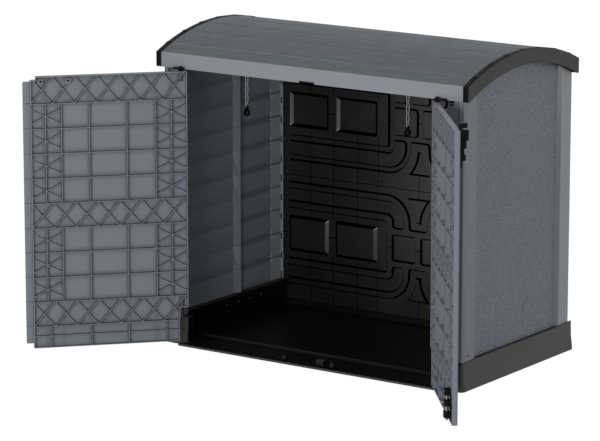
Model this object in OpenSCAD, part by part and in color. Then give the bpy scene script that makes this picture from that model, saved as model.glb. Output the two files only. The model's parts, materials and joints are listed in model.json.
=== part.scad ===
// Outdoor storage box with an arched lid, two ribbed doors, plank walls and an embossed back.
// The origin is on the ground, at the middle of the base. X runs to the right seen from the
// front, Y to the back and Z up. The doors are drawn open.

/* [Overall] */
// Length of the lid over its two end caps
lid_len = 1450; // [1300:2:1600]
// Depth of the lid from its fascia to its rear edge
lid_depth = 812; // [800:1:822]
// Height of the lid's lower edge above the ground
eaves_h = 1117; // [1050:1:1200]

/* [Base] */
// Height of the side skirts
skirt_h = 113; // [100:1:125]
// How far the skirt flares out at the ground
skirt_flare = 7.5; // [4:0.5:12]
// Wall thickness of the skirts and the floor tray
base_t = 4; // [3:0.5:5]
// Radius of the rounded front corners of the skirts
skirt_corner_r = 12; // [12:1:45]
// Depth of the front columns of the skirts
column_d = 38; // [30:1:50]
// Height of the floor surface
floor_z = 12; // [10:1:16]
// How far the front sill reaches beyond the base
sill_reach = 33; // [26:1:40]
// Height of the front sill lip
sill_h = 10.5; // [8:0.5:13]
// Height of the threshold ridge
ridge_h = 24; // [20:1:24]
// Distance from the front of the base to the threshold ridge
ridge_setback = 117; // [100:1:140]

/* [Side walls] */
// How far each side wall stands in from the foot of the skirt
wall_inset = 12.5; // [11:0.5:16]
// Thickness of the moulded walls
wall_t = 5; // [4:0.5:6]
// Depth of the front posts
front_post_d = 92; // [80:1:110]
// Depth of the rear posts
rear_post_d = 100; // [85:1:115]
// How far the plank panel lies behind the posts
panel_recess = 12; // [8:0.5:16]
// Width of the narrow strip at the front corner
corner_strip_w = 20; // [16:1:26]
// Width of the jamb beside each door
jamb_w = 57; // [50:1:62]
// How far the jamb lies behind the post
jamb_setback = 17; // [15:0.5:18]
// Number of plank rows above the skirt
plank_rows = 10; // [8:1:12]
// Width of the groove between two planks
groove_w = 3; // [2:0.5:5]
// Depth of the groove between two planks
groove_d = 1; // [0.6:0.1:1.4]

/* [Back] */
// Thickness of the embossed sheet
sheet_t = 4; // [3:0.5:4.5]
// Depth of the embossing
emboss_d = 8; // [6:0.5:8]

/* [Lid] */
// Rise of the lid's arch above its vertical fascia
lid_rise = 86; // [70:1:110]
// Height of the vertical fascia
fascia_h = 58; // [50:1:70]
// Thickness of the lid sheet
lid_t = 4; // [3:0.5:5]
// Length of each end cap
cap_w = 25; // [20:1:32]
// Height of the band that each end cap forms
cap_h = 57; // [50:1:60]
// Number of plank grooves along the lid
lid_grooves = 7; // [5:1:9]
// Arc distance between two plank grooves
lid_groove_pitch = 114.5; // [100:0.5:118]
// Depth of the ribs under the lid
lid_rib_d = 14; // [8:1:16]

/* [Doors] */
// Thickness of a door with its ribs
door_t = 20.5; // [20:0.5:24]
// Thickness of the outer skin of a door
door_skin_t = 3; // [2.5:0.5:4]
// Thickness of the door's ribs
rib_t = 3; // [2.5:0.5:4]
// Height of the underside of the doors
door_foot_z = 25; // [25:1:28]
// Gap above the doors
door_head_gap = 6; // [5:0.5:8]
// Gap between the closed doors
meeting_gap = 3; // [2:0.5:5]
// Distance from the hinge edge of a door to its hinge line
hinge_inset = 24; // [22:0.5:27]
// Distance from the outer face of a door to its hinge line
hinge_face = 6; // [6:0.5:8]
// Width of the overlap strip on the left door
overlap_w = 28; // [20:1:32]
// Angle at which the left door stands open
left_open = 133; // [90:1:150]
// Angle at which the right door stands open
right_open = 130; // [90:1:150]
// Number of crosses in one diamond band
crosses = 7; // [5:1:9]

/* [Hardware] */
// Diameter of the door hinge pins
door_pin_d = 8; // [7:0.5:9]
// Diameter of the lid hinge rods
lid_pin_d = 6; // [5:0.5:7]
// Radius of the lid hinge knuckles
knuckle_r = 7; // [6:0.5:8]
// Radial running clearance of every pin
run_gap = 0.05; // [0.02:0.01:0.09]
// Diameter of the chain wire
wire_d = 3.8; // [3:0.1:4.2]
// Inner length of a chain link
link_inner = 20.4; // [19:0.2:24]
// Inner width of a chain link
link_gap = 7.4; // [6.8:0.1:9]
// Number of links in each chain
links = 11; // [8:1:12]
// Distance of each chain from the middle of the box
chain_x = 376; // [340:1:440]
// Distance of the chains behind the fascia
chain_setback = 126; // [100:1:160]
// Diameter of the slide bolt
bolt_d = 10; // [8:0.5:11]
// Travel of the slide bolt
bolt_travel = 20; // [14:1:20]

/* [Hidden] */
$fn = 48;
eps = 0.1;
seat_gap = 0.3;

base_d = lid_depth + 2;
front_overhang = 14;
foot_x = lid_len / 2 - 15.5;
post_x = foot_x - wall_inset;
base_front = -base_d / 2;
base_back = base_d / 2;
post_front = base_front + 5;
post_back = base_back - 16;
jamb_y = post_front + jamb_setback;
opening_x = post_x - corner_strip_w - jamb_w;
panel_x = post_x - panel_recess;
inner_x = panel_x - wall_t;
skirt_top_x = foot_x - skirt_flare;
skirt_front = base_front + 3;
tray_x = opening_x + 30;
column_x = opening_x - 33;
first_plank_z = skirt_h - 2;
head_margin = 16;
plank_h = (eaves_h - head_margin - first_plank_z) / plank_rows;

lid_front = post_front - front_overhang;
lid_back = lid_front + lid_depth;
lid_mid_y = (lid_front + lid_back) / 2;
lid_half = lid_depth / 2;
lid_r = (lid_half * lid_half + lid_rise * lid_rise) / (2 * lid_rise);
lid_arc_z = eaves_h + fascia_h + lid_rise - lid_r;
lid_sheet_x = lid_len / 2 - cap_w;
wall_top_r = lid_r - lid_t - 0.4;
lid_arc_angle = 2 * asin(lid_half / lid_r);
lid_arc_len = lid_r * lid_arc_angle * PI / 180;

sheet_front = post_back - 11;
sheet_back = sheet_front + sheet_t;
tray_back = sheet_front + 15;
rail_front = sheet_back;
rail_top = eaves_h - 3;
rail_x = inner_x - 42;

back_w = 2 * (inner_x - 8);
back_low_z = floor_z + 27;
back_lap = 27.4;
back_panel_h = (eaves_h - 5.4 - back_low_z + back_lap) / 2;
back_mid_low = back_low_z + back_panel_h / 2;
back_mid_high = back_mid_low + back_panel_h - back_lap;
emboss_skin = 3.5;
pattern_w = 1344;
pattern_h = 550;
across = back_w / pattern_w;
upward = back_panel_h / pattern_h;
rail_h = rail_top - back_mid_high - 217 * upward - emboss_skin - 2.9;

door_top = eaves_h - door_head_gap;
hinge_x = opening_x - hinge_inset;
hinge_y = post_front - 29;
door_in = door_t - hinge_face;
free_s = hinge_x - meeting_gap / 2;
boss_r = 9;
door_bore_r = door_pin_d / 2 + run_gap;
low_bracket_bottom = skirt_h + 11;
low_bracket_top = low_bracket_bottom + 35;
low_notch_z = low_bracket_top + 3;
low_hub_r = door_pin_d / 2 + 3;
low_notch_s = low_hub_r + 1.5;
column_notch_s = hinge_x - column_x + 3;
pin_reach = 30;
top_pin_reach = 32;

lid_hinge_y = lid_back + 10;
lid_hinge_z = eaves_h - 9;
hinge_places = [-0.75 * rail_x, 0, 0.75 * rail_x];
leaf_len = 22;
leaf_low_z = rail_top - rail_h + 4;
lid_knuckle_len = 30;

function arc_top(y, r) = lid_arc_z + sqrt(r * r - pow(y - lid_mid_y, 2));
function plank_z(k) = first_plank_z + k * plank_h;

chain_y = lid_front + chain_setback;
staple_drop = 27;
staple_z = arc_top(chain_y, lid_r - lid_t) - staple_drop;
link_pitch = link_inner - seat_gap;

// A part drawn for the right side, mirrored to the left where side is -1
module on_side(side) {
    if (side < 0)
        mirror([1, 0, 0]) children();
    else
        children();
}

// A bar of rectangular section between two corners
module block(low, high) {
    translate(low) cube(high - low);
}

// An outline in X and Y raised from z0 to z1
module raised(z0, z1) {
    translate([0, 0, z0]) linear_extrude(z1 - z0) children();
}

// An outline in Y and Z drawn along X from x0 to x1
module along_x(x0, x1) {
    translate([x0, 0, 0]) rotate([90, 0, 90]) linear_extrude(x1 - x0) children();
}

// An outline in X and Z drawn along Y from y0 to y1
module along_y(y0, y1) {
    translate([0, y1, 0]) rotate([90, 0, 0]) linear_extrude(y1 - y0) children();
}

// A rectangle with round corners
module round_rect(x0, x1, z0, z1, r) {
    translate([x0 + r, z0]) square([x1 - x0 - 2 * r, z1 - z0]);
    translate([x0, z0 + r]) square([x1 - x0, z1 - z0 - 2 * r]);
    for (x = [x0 + r, x1 - r], z = [z0 + r, z1 - r])
        translate([x, z]) circle(r);
}

// A flat cross-head screw, its head on z = 0 and its shank pointing along -Z
shank_share = 0.45;

module screw(head_r, shank) {
    difference() {
        union() {
            cylinder(h = 1.6, r = head_r);
            translate([0, 0, -shank]) cylinder(h = shank + eps, r = head_r * shank_share);
        }
        for (a = [0, 90])
            rotate([0, 0, a]) translate([-head_r * 0.6, -0.5, 0.9]) cube([head_r * 1.2, 1, 1]);
    }
}

module screw_hole(head_r, deep) {
    translate([0, 0, -deep]) cylinder(h = deep + 1, r = head_r * shank_share + 0.2);
}

// Base: a floor tray with upstanding sides, a threshold ridge and a front sill
screw_ys = [-50, 31, 106, 185];
floor_screw_z = 84;
base_screw_r = 4.5;
tray_rib_pitch = 130;

module floor_screw_places() {
    for (side = [-1, 1], y = screw_ys)
        on_side(side) translate([tray_x, y, floor_screw_z]) rotate([0, -90, 0]) children();
}

module floor_tray() {
    color("#141516") difference() {
        union() {
            block([-tray_x - base_t, base_front + column_d, floor_z - base_t], [tray_x + base_t, tray_back, floor_z]);
            block([-column_x, base_front - 1, floor_z - base_t], [column_x, base_front + column_d + eps, floor_z]);
            for (x = [-tray_x - base_t, tray_x])
                block([x, base_front + column_d, 0], [x + base_t, tray_back, skirt_h]);
            for (x = [-column_x - base_t, column_x - 1])
                block([x, skirt_front + base_t + seat_gap, 0],
                    [x + base_t + 1, base_front + column_d - base_t - 2 * seat_gap, skirt_h - base_t - seat_gap]);
            block([-tray_x, tray_back - base_t, 0], [tray_x, tray_back, floor_z + 14]);
            block([-tray_x, sheet_front - 19, floor_z - base_t], [tray_x, sheet_front - seat_gap, floor_z + 21]);
            along_x(-tray_x, tray_x) polygon([
                [base_front + ridge_setback, floor_z - 1], [base_front + ridge_setback, ridge_h - 2],
                [base_front + ridge_setback + 2, ridge_h], [base_front + ridge_setback + 16, ridge_h],
                [base_front + ridge_setback + 18, ridge_h - 2], [base_front + ridge_setback + 18, floor_z - 1]
            ]);
            floor_ribs();
            sill();
        }
        floor_screw_places() screw_hole(base_screw_r, base_t + 1);
    }
}

// Ribs under the floor, down to the ground
module floor_ribs() {
    for (y = [base_front + column_d : tray_rib_pitch : tray_back - base_t])
        block([-tray_x, y, 0], [tray_x, y + base_t, floor_z - base_t + eps]);
    for (x = tray_x * [-0.8, -0.4, 0, 0.4, 0.8])
        block([x - base_t / 2, base_front + column_d, 0], [x + base_t / 2, tray_back - base_t, floor_z - base_t + eps]);
}

// Front sill lip between the two columns, with a rounded nose
module sill() {
    nose_r = sill_h / 2;
    sill_front = base_front - sill_reach;
    lip_rear = skirt_front - skirt_flare - 1.5;
    along_x(-column_x - 24, column_x + 24) {
        translate([sill_front + nose_r, nose_r]) circle(nose_r);
        translate([sill_front + nose_r, 0]) square([lip_rear - sill_front - nose_r, sill_h]);
    }
    block([-column_x, lip_rear - 1, 0], [column_x, base_front, sill_h]);
    block([-column_x, base_front - 2, 0], [column_x, base_front + 3, floor_z]);
}

// Section of the skirt: x is measured outwards from the plumb upper edge
module skirt_section() {
    polygon([
        [0, skirt_h - 3], [-3, skirt_h], [-base_t - 6, skirt_h], [-base_t - 6, skirt_h - base_t],
        [-base_t, skirt_h - base_t], [1 - base_t, skirt_h * 0.52], [skirt_flare - base_t, 10],
        [skirt_flare - base_t, 0], [skirt_flare, 0], [skirt_flare, 12], [1.5, skirt_h * 0.52]
    ]);
}

// Side skirt with its rounded front corner and its front column
module skirt() {
    corner_y = skirt_front + skirt_corner_r;
    corner_x = skirt_top_x - skirt_corner_r;
    column_back = base_front + column_d - seat_gap;
    translate([skirt_top_x, 0, 0]) along_y(corner_y, base_back) skirt_section();
    translate([corner_x, corner_y, 0]) rotate([0, 0, -90]) rotate_extrude(angle = 90)
        translate([skirt_corner_r, 0]) skirt_section();
    translate([0, skirt_front, 0]) rotate([0, 0, -90]) along_y(column_x, corner_x + eps) skirt_section();
    block([tray_x + base_t, corner_y, skirt_h - base_t], [skirt_top_x - 4, base_back - 2, skirt_h]);
    block([column_x, skirt_front + 3, skirt_h - base_t], [corner_x + 3, column_back, skirt_h]);
    block([column_x, column_back - base_t, 0], [tray_x + base_t, column_back, skirt_h]);
    block([tray_x + base_t, corner_y, skirt_h - base_t], [skirt_top_x - 4, column_back + 30, skirt_h]);
    block([tray_x + base_t, base_back - base_t, 0], [skirt_top_x, base_back, skirt_h]);
    along_y(base_back - 92, base_back) polygon([
        [skirt_top_x - 2, skirt_h - 4], [skirt_top_x - 2, skirt_h + 5], [skirt_top_x - 1, skirt_h + 5],
        [skirt_top_x, skirt_h + 3], [skirt_top_x, skirt_h - 4]
    ]);
}

module skirt_left() { color("#474747") on_side(-1) skirt(); }
module skirt_right() { color("#474747") on_side(1) skirt(); }

module floor_screws() {
    color("#b9bcbf") floor_screw_places() screw(base_screw_r, base_t + 6);
}

// Two small blocks on the sill that the closed doors meet
stop_x = 113;
door_inner_y = hinge_y + door_in;

module door_stops() {
    color("#202122") for (side = [-1, 1]) on_side(side)
        along_x(stop_x - 9, stop_x + 9) polygon([
            [door_inner_y + 0.5, floor_z], [door_inner_y + 0.5, door_foot_z + 4],
            [door_inner_y + 2, door_foot_z + 5.5], [door_inner_y + 6, door_foot_z + 5.5],
            [door_inner_y + 18, floor_z + 2], [door_inner_y + 18, floor_z]
        ]);
}

// Keeper that the slide bolt drops into when the doors are closed
bolt_s = free_s - 53;
bolt_out = door_in + 12;
keeper_x = hinge_x - bolt_s;
keeper_y = hinge_y + bolt_out;
keeper_top = floor_z + 20;

module bolt_keeper() {
    color("#2a2b2c") difference() {
        union() {
            raised(floor_z, keeper_top) round_rect(keeper_x - 17, keeper_x + 17, keeper_y - 10, keeper_y + 15, 4);
            raised(floor_z, floor_z + 3) round_rect(keeper_x - 26, keeper_x + 26, keeper_y - 5, keeper_y + 13, 3);
        }
        translate([keeper_x, keeper_y, floor_z - 1]) cylinder(h = keeper_top, r = bolt_d / 2 + 1);
    }
}

// Side wall: the plan of the moulding, from the jamb lip round both posts to the rear flange
module wall_plan() {
    panel_front = post_front + front_post_d;
    panel_rear = post_back - rear_post_d + 11;
    rear_x = post_x + 2.6;
    t = wall_t;
    corner = post_x - corner_strip_w;
    flange_x = rail_x + 8;
    polygon([
        [opening_x, jamb_y + 26], [opening_x, jamb_y + 2], [opening_x + 2, jamb_y], [corner, jamb_y],
        [corner, post_front + 2], [corner + 2, post_front], [post_x - 5, post_front],
        [post_x - 1.5, post_front + 1.5], [post_x, post_front + 5],
        [post_x, panel_front], [panel_x, panel_front + 10], [panel_x, panel_rear],
        [rear_x - 1, panel_rear + 7], [rear_x, panel_rear + 9], [rear_x, post_back - 8],
        [rear_x - 2.5, post_back - 2.5], [rear_x - 8, post_back], [flange_x, post_back],
        [flange_x, post_back - t], [rear_x - 10, post_back - t], [rear_x - t - 1, post_back - 9],
        [rear_x - t, panel_rear + 11], [inner_x, panel_rear + 3],
        [inner_x, panel_front + 12], [post_x - t, panel_front + 1], [post_x - t, post_front + t],
        [corner + t, post_front + t], [corner + t, jamb_y + t], [opening_x + t, jamb_y + t],
        [opening_x + t, jamb_y + 26]
    ]);
}

// Plan of the wedge-shaped stiffener inside the wall, its face sunk by g
pilaster_y = 37;
pilaster_w = 43;
pilaster_proud = 9;

module pilaster_plan(g) {
    polygon([
        [inner_x + g, pilaster_y], [inner_x + g - pilaster_proud, pilaster_y + pilaster_w - 6],
        [inner_x + g - pilaster_proud, pilaster_y + pilaster_w - g], [inner_x + 2, pilaster_y + pilaster_w - g],
        [inner_x + 2, pilaster_y]
    ]);
}

// Plan of the inner skin that closes the rear post, with its rear lip
module rear_skin_plan() {
    skin_front = post_back - rear_post_d + 10;
    translate([inner_x, skin_front]) square([4, sheet_front - 3 - skin_front]);
    translate([inner_x, sheet_front - 8]) square([post_x - wall_t - inner_x + 3.5, 5]);
}

// The planks on the inside meet in an uneven V: a long slope above the line, a short one below it
module inner_plank_cut(k) {
    z = plank_z(k);
    polygon([
        [inner_x - 1, z - 13], [inner_x, z - 12], [inner_x + 2, z], [inner_x, z + 40], [inner_x - 1, z + 41]
    ]);
}

module side_wall() {
    panel_front = post_front + front_post_d;
    panel_rear = post_back - rear_post_d + 11;
    tab_pitch = 82;
    tab_h = 58;
    pilaster_rear = pilaster_y + pilaster_w;
    difference() {
        union() {
            intersection() {
                raised(skirt_h, eaves_h + fascia_h + lid_rise) {
                    wall_plan();
                    pilaster_plan(0);
                    rear_skin_plan();
                }
                along_x(opening_x - 1, post_x + 4) translate([lid_mid_y, lid_arc_z]) circle(wall_top_r, $fn = 200);
            }
            for (z = [skirt_h + 30 : tab_pitch : eaves_h - tab_h])
                along_y(sheet_front - 7, sheet_front - 3)
                    round_rect(inner_x - 11, inner_x + 3, z, z + tab_h, 6);
        }
        for (k = [1 : plank_rows]) {
            block([panel_x - groove_d, panel_front + 6, plank_z(k) - groove_w / 2],
                [panel_x + 1, panel_rear + 4, plank_z(k) + groove_w / 2]);
            along_y(panel_front + 16, pilaster_y) inner_plank_cut(k);
            along_y(pilaster_rear, panel_rear - 2) inner_plank_cut(k);
            raised(plank_z(k) - groove_w / 2, plank_z(k) + groove_w / 2) difference() {
                translate([inner_x - 20, pilaster_y]) square([20.5, pilaster_w + 1]);
                pilaster_plan(groove_d);
            }
            block([inner_x - 1, panel_rear - 2, plank_z(k) - groove_w / 2],
                [inner_x + groove_d, sheet_front - 9, plank_z(k) + groove_w / 2]);
        }
        wall_screw_place() screw_hole(base_screw_r, wall_t + 1);
    }
}

post_screw_y = post_front + 47;
post_screw_z = skirt_h + 19;

module wall_screw_place() {
    translate([post_x, post_screw_y, post_screw_z]) rotate([0, 90, 0]) children();
}

module side_wall_left() { color("#5c6066") on_side(-1) side_wall(); }
module side_wall_right() { color("#5c6066") on_side(1) side_wall(); }

module wall_screws() {
    color("#202224") for (side = [-1, 1])
        on_side(side) wall_screw_place() screw(base_screw_r, wall_t + 6);
}

// Embossed back. The outline is drawn about the middle of a panel and grown outwards by g
field_u = 153;
field_v = 106;
band_r = [31, 83, 111];
channel_end_u = 640;
tray_u = [[205, 405], [445, 638]];
tray_v = 74;

function corner_arc(r, a0, a1, steps) = [for (i = [0 : steps]) let (a = a0 + (a1 - a0) * i / steps)
    [field_u + r * cos(a), field_v + r * sin(a)]];

// Lane beside the field: a quarter disc that runs on outwards as a straight channel
module inner_lane_2d(g) {
    r = band_r[0] + g;
    polygon(concat([[channel_end_u + g, field_v + r]], corner_arc(r, 90, 180, 8),
        [[field_u - r, field_v - 1 - g], [field_u - 2, field_v - 1 - g], [field_u - 2, field_v - g],
        [channel_end_u + g, field_v - g]]));
}

// Outer lane: a quarter ring that runs on outwards as a straight channel
module outer_lane_2d(g) {
    r0 = band_r[1] - g;
    r1 = band_r[2] + g;
    polygon(concat([[channel_end_u + g, field_v + r1]], corner_arc(r1, 90, 180, 16),
        [[field_u - r1, field_v - 1 - g], [field_u - r0, field_v - 1 - g]], corner_arc(r0, 180, 90, 14),
        [[channel_end_u + g, field_v + r0]]));
}

// A rectangle whose corners are cut with three short facets
module soft_rect(x0, x1, y0, y1, r) {
    cut = [[0, 1], [0.134, 0.5], [0.5, 0.134], [1, 0]];
    polygon(concat([for (c = cut) [x0 + r * c[0], y0 + r * c[1]]],
        [for (c = cut) [x1 - r * c[1], y0 + r * c[0]]],
        [for (c = cut) [x1 - r * c[0], y1 - r * c[1]]],
        [for (c = cut) [x0 + r * c[1], y1 - r * c[0]]]));
}

// Field between the two pairs of trays, with its islands left standing
module field_2d(g) {
    difference() {
        square([2 * (field_u + g), 2 * (field_v + g)], center = true);
        for (su = [-1, 1]) scale([su, 1]) {
            soft_rect(15 + g, 123 - g, -53 + g, 53 - g, 9);
            for (sv = [-1, 1]) scale([1, sv])
                soft_rect(field_u - band_r[1] + g + 0.5, field_u - band_r[0] - g - 0.5, 82 + g, field_v + 30, 9);
        }
        for (sv = [-1, 1]) scale([1, sv])
            soft_rect(-field_u + band_r[2] + g + 0.5, field_u - band_r[2] - g - 0.5, 82 + g, field_v + 30, 9);
    }
}

// Bell that narrows towards the middle of the panel, with curved flanks
module bell_2d(g) {
    bell_low = 213;
    bell_high = 114;
    half_low = 51;
    half_high = 10;
    steps = 8;
    function flank(i) = let (f = i / steps)
        [half_high + g + (half_low - half_high) * f * f, bell_high - g + (bell_low - bell_high + 2 * g) * f];
    for (sv = [-1, 1]) scale([1, sv])
        polygon(concat([for (i = [0 : steps]) flank(i)],
            [for (i = [steps : -1 : 0]) [-flank(i)[0], flank(i)[1]]]));
}

module emboss_2d(g) {
    for (su = [-across, across], sv = [-upward, upward]) scale([su, sv]) {
        inner_lane_2d(g);
        outer_lane_2d(g);
    }
    scale([across, upward]) {
        field_2d(g);
        bell_2d(g);
    }
}

// Tray with four sloped sides, its mouth at y = 0 and its bottom at y = deep
module sloped_tray(u, g, deep, slope) {
    u0 = u[0] - g;
    u1 = u[1] + g;
    v = tray_v + g;
    intersection() {
        translate([0, 0, -v]) linear_extrude(2 * v)
            polygon([[u0, -eps], [u0, 0], [u0 + slope, deep], [u1 - slope, deep], [u1, 0], [u1, -eps]]);
        along_x(u0, u1) polygon([[-eps, -v], [0, -v], [deep, slope - v], [deep, v - slope], [0, v], [-eps, v]]);
    }
}

module trays(g, deep) {
    tray_slope = 13;
    for (su = [-1, 1], u = tray_u)
        scale([across, 1, upward]) on_side(su) sloped_tray(u, g, deep, tray_slope);
}

// One panel about its own middle, with its front face at y = 0 and the embossing sunk to the back
module embossed_panel() {
    skin = emboss_skin;
    difference() {
        union() {
            block([-back_w / 2, 0, -back_panel_h / 2], [back_w / 2, sheet_t, back_panel_h / 2]);
            along_y(sheet_t - eps, sheet_t + emboss_d) emboss_2d(skin);
            translate([0, sheet_t, 0]) trays(skin, emboss_d);
        }
        along_y(-1, emboss_d) emboss_2d(0);
        trays(0, emboss_d);
    }
}

// The lower panel shows the other face of the same moulding, so its pattern stands forward
module back_panel_lower() {
    lap_top = back_mid_low + back_panel_h / 2;
    color("#1f2021") difference() {
        union() {
            translate([0, sheet_back, back_mid_low]) mirror([0, 1, 0]) embossed_panel();
            block([-back_w / 2, sheet_front, floor_z], [back_w / 2, sheet_back, back_low_z + 1]);
        }
        block([-back_w / 2 - 1, sheet_front - 1, lap_top - back_lap], [back_w / 2 + 1, sheet_front + sheet_t / 2, lap_top + 1]);
        block([-back_w / 2 - 1, sheet_front - 1, floor_z - 1], [-tray_x + 1, sheet_back + 1, skirt_h]);
        block([tray_x - 1, sheet_front - 1, floor_z - 1], [back_w / 2 + 1, sheet_back + 1, skirt_h]);
    }
}

module back_panel_upper() {
    lap_low = back_mid_high - back_panel_h / 2;
    color("#1f2021") difference() {
        union() {
            translate([0, sheet_front, back_mid_high]) embossed_panel();
            for (x = across * [-603, -206, 206, 603])
                block([x - 30, sheet_front - 2, lap_low + 10], [x + 30, sheet_front + 1, lap_low + 18]);
        }
        block([-back_w / 2 - 1, sheet_front + sheet_t / 2, lap_low - 1], [back_w / 2 + 1, sheet_back + 1, lap_low + back_lap]);
    }
}

// Rail behind the top of the back, which carries the lid hinges
module rear_rail() {
    color("#1b1c1d") difference() {
        block([-rail_x, rail_front, rail_top - rail_h], [rail_x, post_back, rail_top]);
        for (z = [rail_top - rail_h + 8, rail_top - 22])
            along_x(-rail_x - 1, rail_x + 1) translate([rail_front - 1, z]) square([3, 14]);
    }
}

// Lid hinges: a leaf on the rail, a rod, and a knuckle that belongs to the lid
module lid_hinge_leaves() {
    color("#232425") for (x = hinge_places, side = [-1, 1]) translate([x, 0, 0]) on_side(side) {
        start = lid_knuckle_len / 2 + seat_gap;
        difference() {
            along_x(start, start + leaf_len) {
                translate([lid_hinge_y, lid_hinge_z]) circle(knuckle_r);
                polygon([
                    [post_back, leaf_low_z], [post_back + 3, leaf_low_z],
                    [post_back + 3, lid_hinge_z - 2 * knuckle_r], [lid_hinge_y + 4, lid_hinge_z - 6],
                    [lid_hinge_y, lid_hinge_z], [lid_hinge_y - 6, lid_hinge_z - 1], [post_back, lid_hinge_z - 5]
                ]);
            }
            translate([0, lid_hinge_y, lid_hinge_z]) rotate([0, 90, 0])
                cylinder(h = start + leaf_len - 2, r = lid_pin_d / 2 + run_gap);
            leaf_screw_place() screw_hole(leaf_screw_r, 4);
        }
    }
}

leaf_screw_r = 4;

module leaf_screw_place() {
    translate([lid_knuckle_len / 2 + seat_gap + leaf_len / 2, post_back + 3, leaf_low_z + 10]) rotate([-90, 0, 0]) children();
}

module leaf_screws() {
    color("#b9bcbf") for (x = hinge_places, side = [-1, 1]) translate([x, 0, 0]) on_side(side)
        leaf_screw_place() screw(leaf_screw_r, 2.9);
}

module lid_hinge_rods() {
    half = lid_knuckle_len / 2 + seat_gap + leaf_len - 2.5;
    color("#a8abae") for (x = hinge_places)
        translate([x - half, lid_hinge_y, lid_hinge_z]) rotate([0, 90, 0]) cylinder(h = 2 * half, r = lid_pin_d / 2);
}

// Top hinge bracket: a foot on the jamb, an arm under the fascia and a hub before it
hub_top = eaves_h + 10;
bracket_low_z = door_top + 1;

module top_bracket() {
    arm_top = eaves_h - 0.5;
    difference() {
        union() {
            along_y(hinge_y - 10, lid_front - 3) polygon([
                [hinge_x - 13, bracket_low_z], [hinge_x - 13, hub_top - 8], [hinge_x - 7, hub_top],
                [hinge_x + 28, hub_top], [hinge_x + 37, hub_top - 8], [hinge_x + 37, bracket_low_z]
            ]);
            block([hinge_x - 11, lid_front - 3 - eps, bracket_low_z], [hinge_x + 54, jamb_y - seat_gap, arm_top]);
            block([opening_x + 3, jamb_y - 3 - seat_gap, bracket_low_z - 20], [hinge_x + 54, jamb_y, bracket_low_z + 1]);
        }
        translate([hinge_x, hinge_y, bracket_low_z - 1]) cylinder(h = hub_top, r = door_bore_r);
        top_bracket_screw_places() screw_hole(bracket_screw_r, 4);
    }
}

// Low hinge bracket on the jamb, above the column, with the pivot in its nose
module low_bracket() {
    difference() {
        union() {
            translate([hinge_x, hinge_y, low_bracket_bottom]) cylinder(h = low_bracket_top - low_bracket_bottom, r = low_hub_r);
            raised(low_bracket_bottom, low_bracket_top) polygon([
                [hinge_x + 5, hinge_y + 1], [hinge_x + 10, hinge_y + 7], [hinge_x + 30, jamb_y - 10],
                [hinge_x + 41, jamb_y - 6], [hinge_x + 54, jamb_y - 6], [hinge_x + 54, jamb_y],
                [hinge_x + 26, jamb_y], [hinge_x - 3, hinge_y + 5]
            ]);
        }
        translate([hinge_x, hinge_y, low_bracket_bottom + 6]) cylinder(h = low_bracket_top, r = door_bore_r);
        low_bracket_screw_places() screw_hole(bracket_screw_r, 10);
    }
}

bracket_screw_r = 3.5;

module top_bracket_screw_places() {
    for (x = [opening_x + 9, opening_x + 22])
        translate([x, jamb_y - 3 - seat_gap, bracket_low_z - 11]) rotate([90, 0, 0]) children();
}

module low_bracket_screw_places() {
    for (z = [low_bracket_bottom + 9, low_bracket_top - 9])
        translate([hinge_x + 46, jamb_y - 6, z]) rotate([90, 0, 0]) children();
}

module top_bracket_left() { color("#17181a") on_side(-1) top_bracket(); }
module top_bracket_right() { color("#17181a") on_side(1) top_bracket(); }
module low_bracket_left() { color("#1c1d20") on_side(-1) low_bracket(); }
module low_bracket_right() { color("#1c1d20") on_side(1) low_bracket(); }

module bracket_screws() {
    color("#b9bcbf") for (side = [-1, 1]) on_side(side) {
        top_bracket_screw_places() screw(bracket_screw_r, 2.9);
        low_bracket_screw_places() screw(bracket_screw_r, 5.9);
    }
}

// Door pins: one hangs from the top bracket, one stands in the low bracket under a collar
module door_pins() {
    translate([hinge_x, hinge_y, 0]) {
        translate([0, 0, door_top - top_pin_reach]) cylinder(h = hub_top - door_top + top_pin_reach, r = door_pin_d / 2);
        translate([0, 0, hub_top]) cylinder(h = 2.5, r = door_pin_d / 2 + 3);
        translate([0, 0, low_bracket_bottom + 6]) cylinder(h = low_notch_z + pin_reach - low_bracket_bottom - 6, r = door_pin_d / 2);
        translate([0, 0, low_bracket_top]) cylinder(h = low_notch_z - low_bracket_top - seat_gap, r = door_pin_d / 2 + 3);
    }
}

module door_pins_left() { color("#a8abae") on_side(-1) door_pins(); }
module door_pins_right() { color("#a8abae") on_side(1) door_pins(); }

// Door ribs in the plane of the door: x is the distance from the hinge line, y is the height
truss_rows = [[0, 1], [4, 5], [9, 10]];
inner_ribs_s = [0.387, 0.628];
side_col_w = 0.202 * (free_s + hinge_inset);

module rib_line(a, b) {
    along = b - a;
    translate(a) rotate(atan2(along[1], along[0])) translate([-rib_t / 2, -rib_t / 2]) square([norm(along) + rib_t, rib_t]);
}

// Three bands of crosses
module truss_2d() {
    edge = -hinge_inset;
    pitch = (free_s - edge - 9) / crosses;
    for (row = truss_rows, i = [0 : crosses - 1]) {
        s0 = edge + 11 + i * pitch;
        z0 = plank_z(row[0]);
        z1 = row[1] == 10 ? door_top : plank_z(row[1]);
        rib_line([s0, z0], [s0 + pitch, z1]);
        rib_line([s0, z1], [s0 + pitch, z0]);
    }
}

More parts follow.
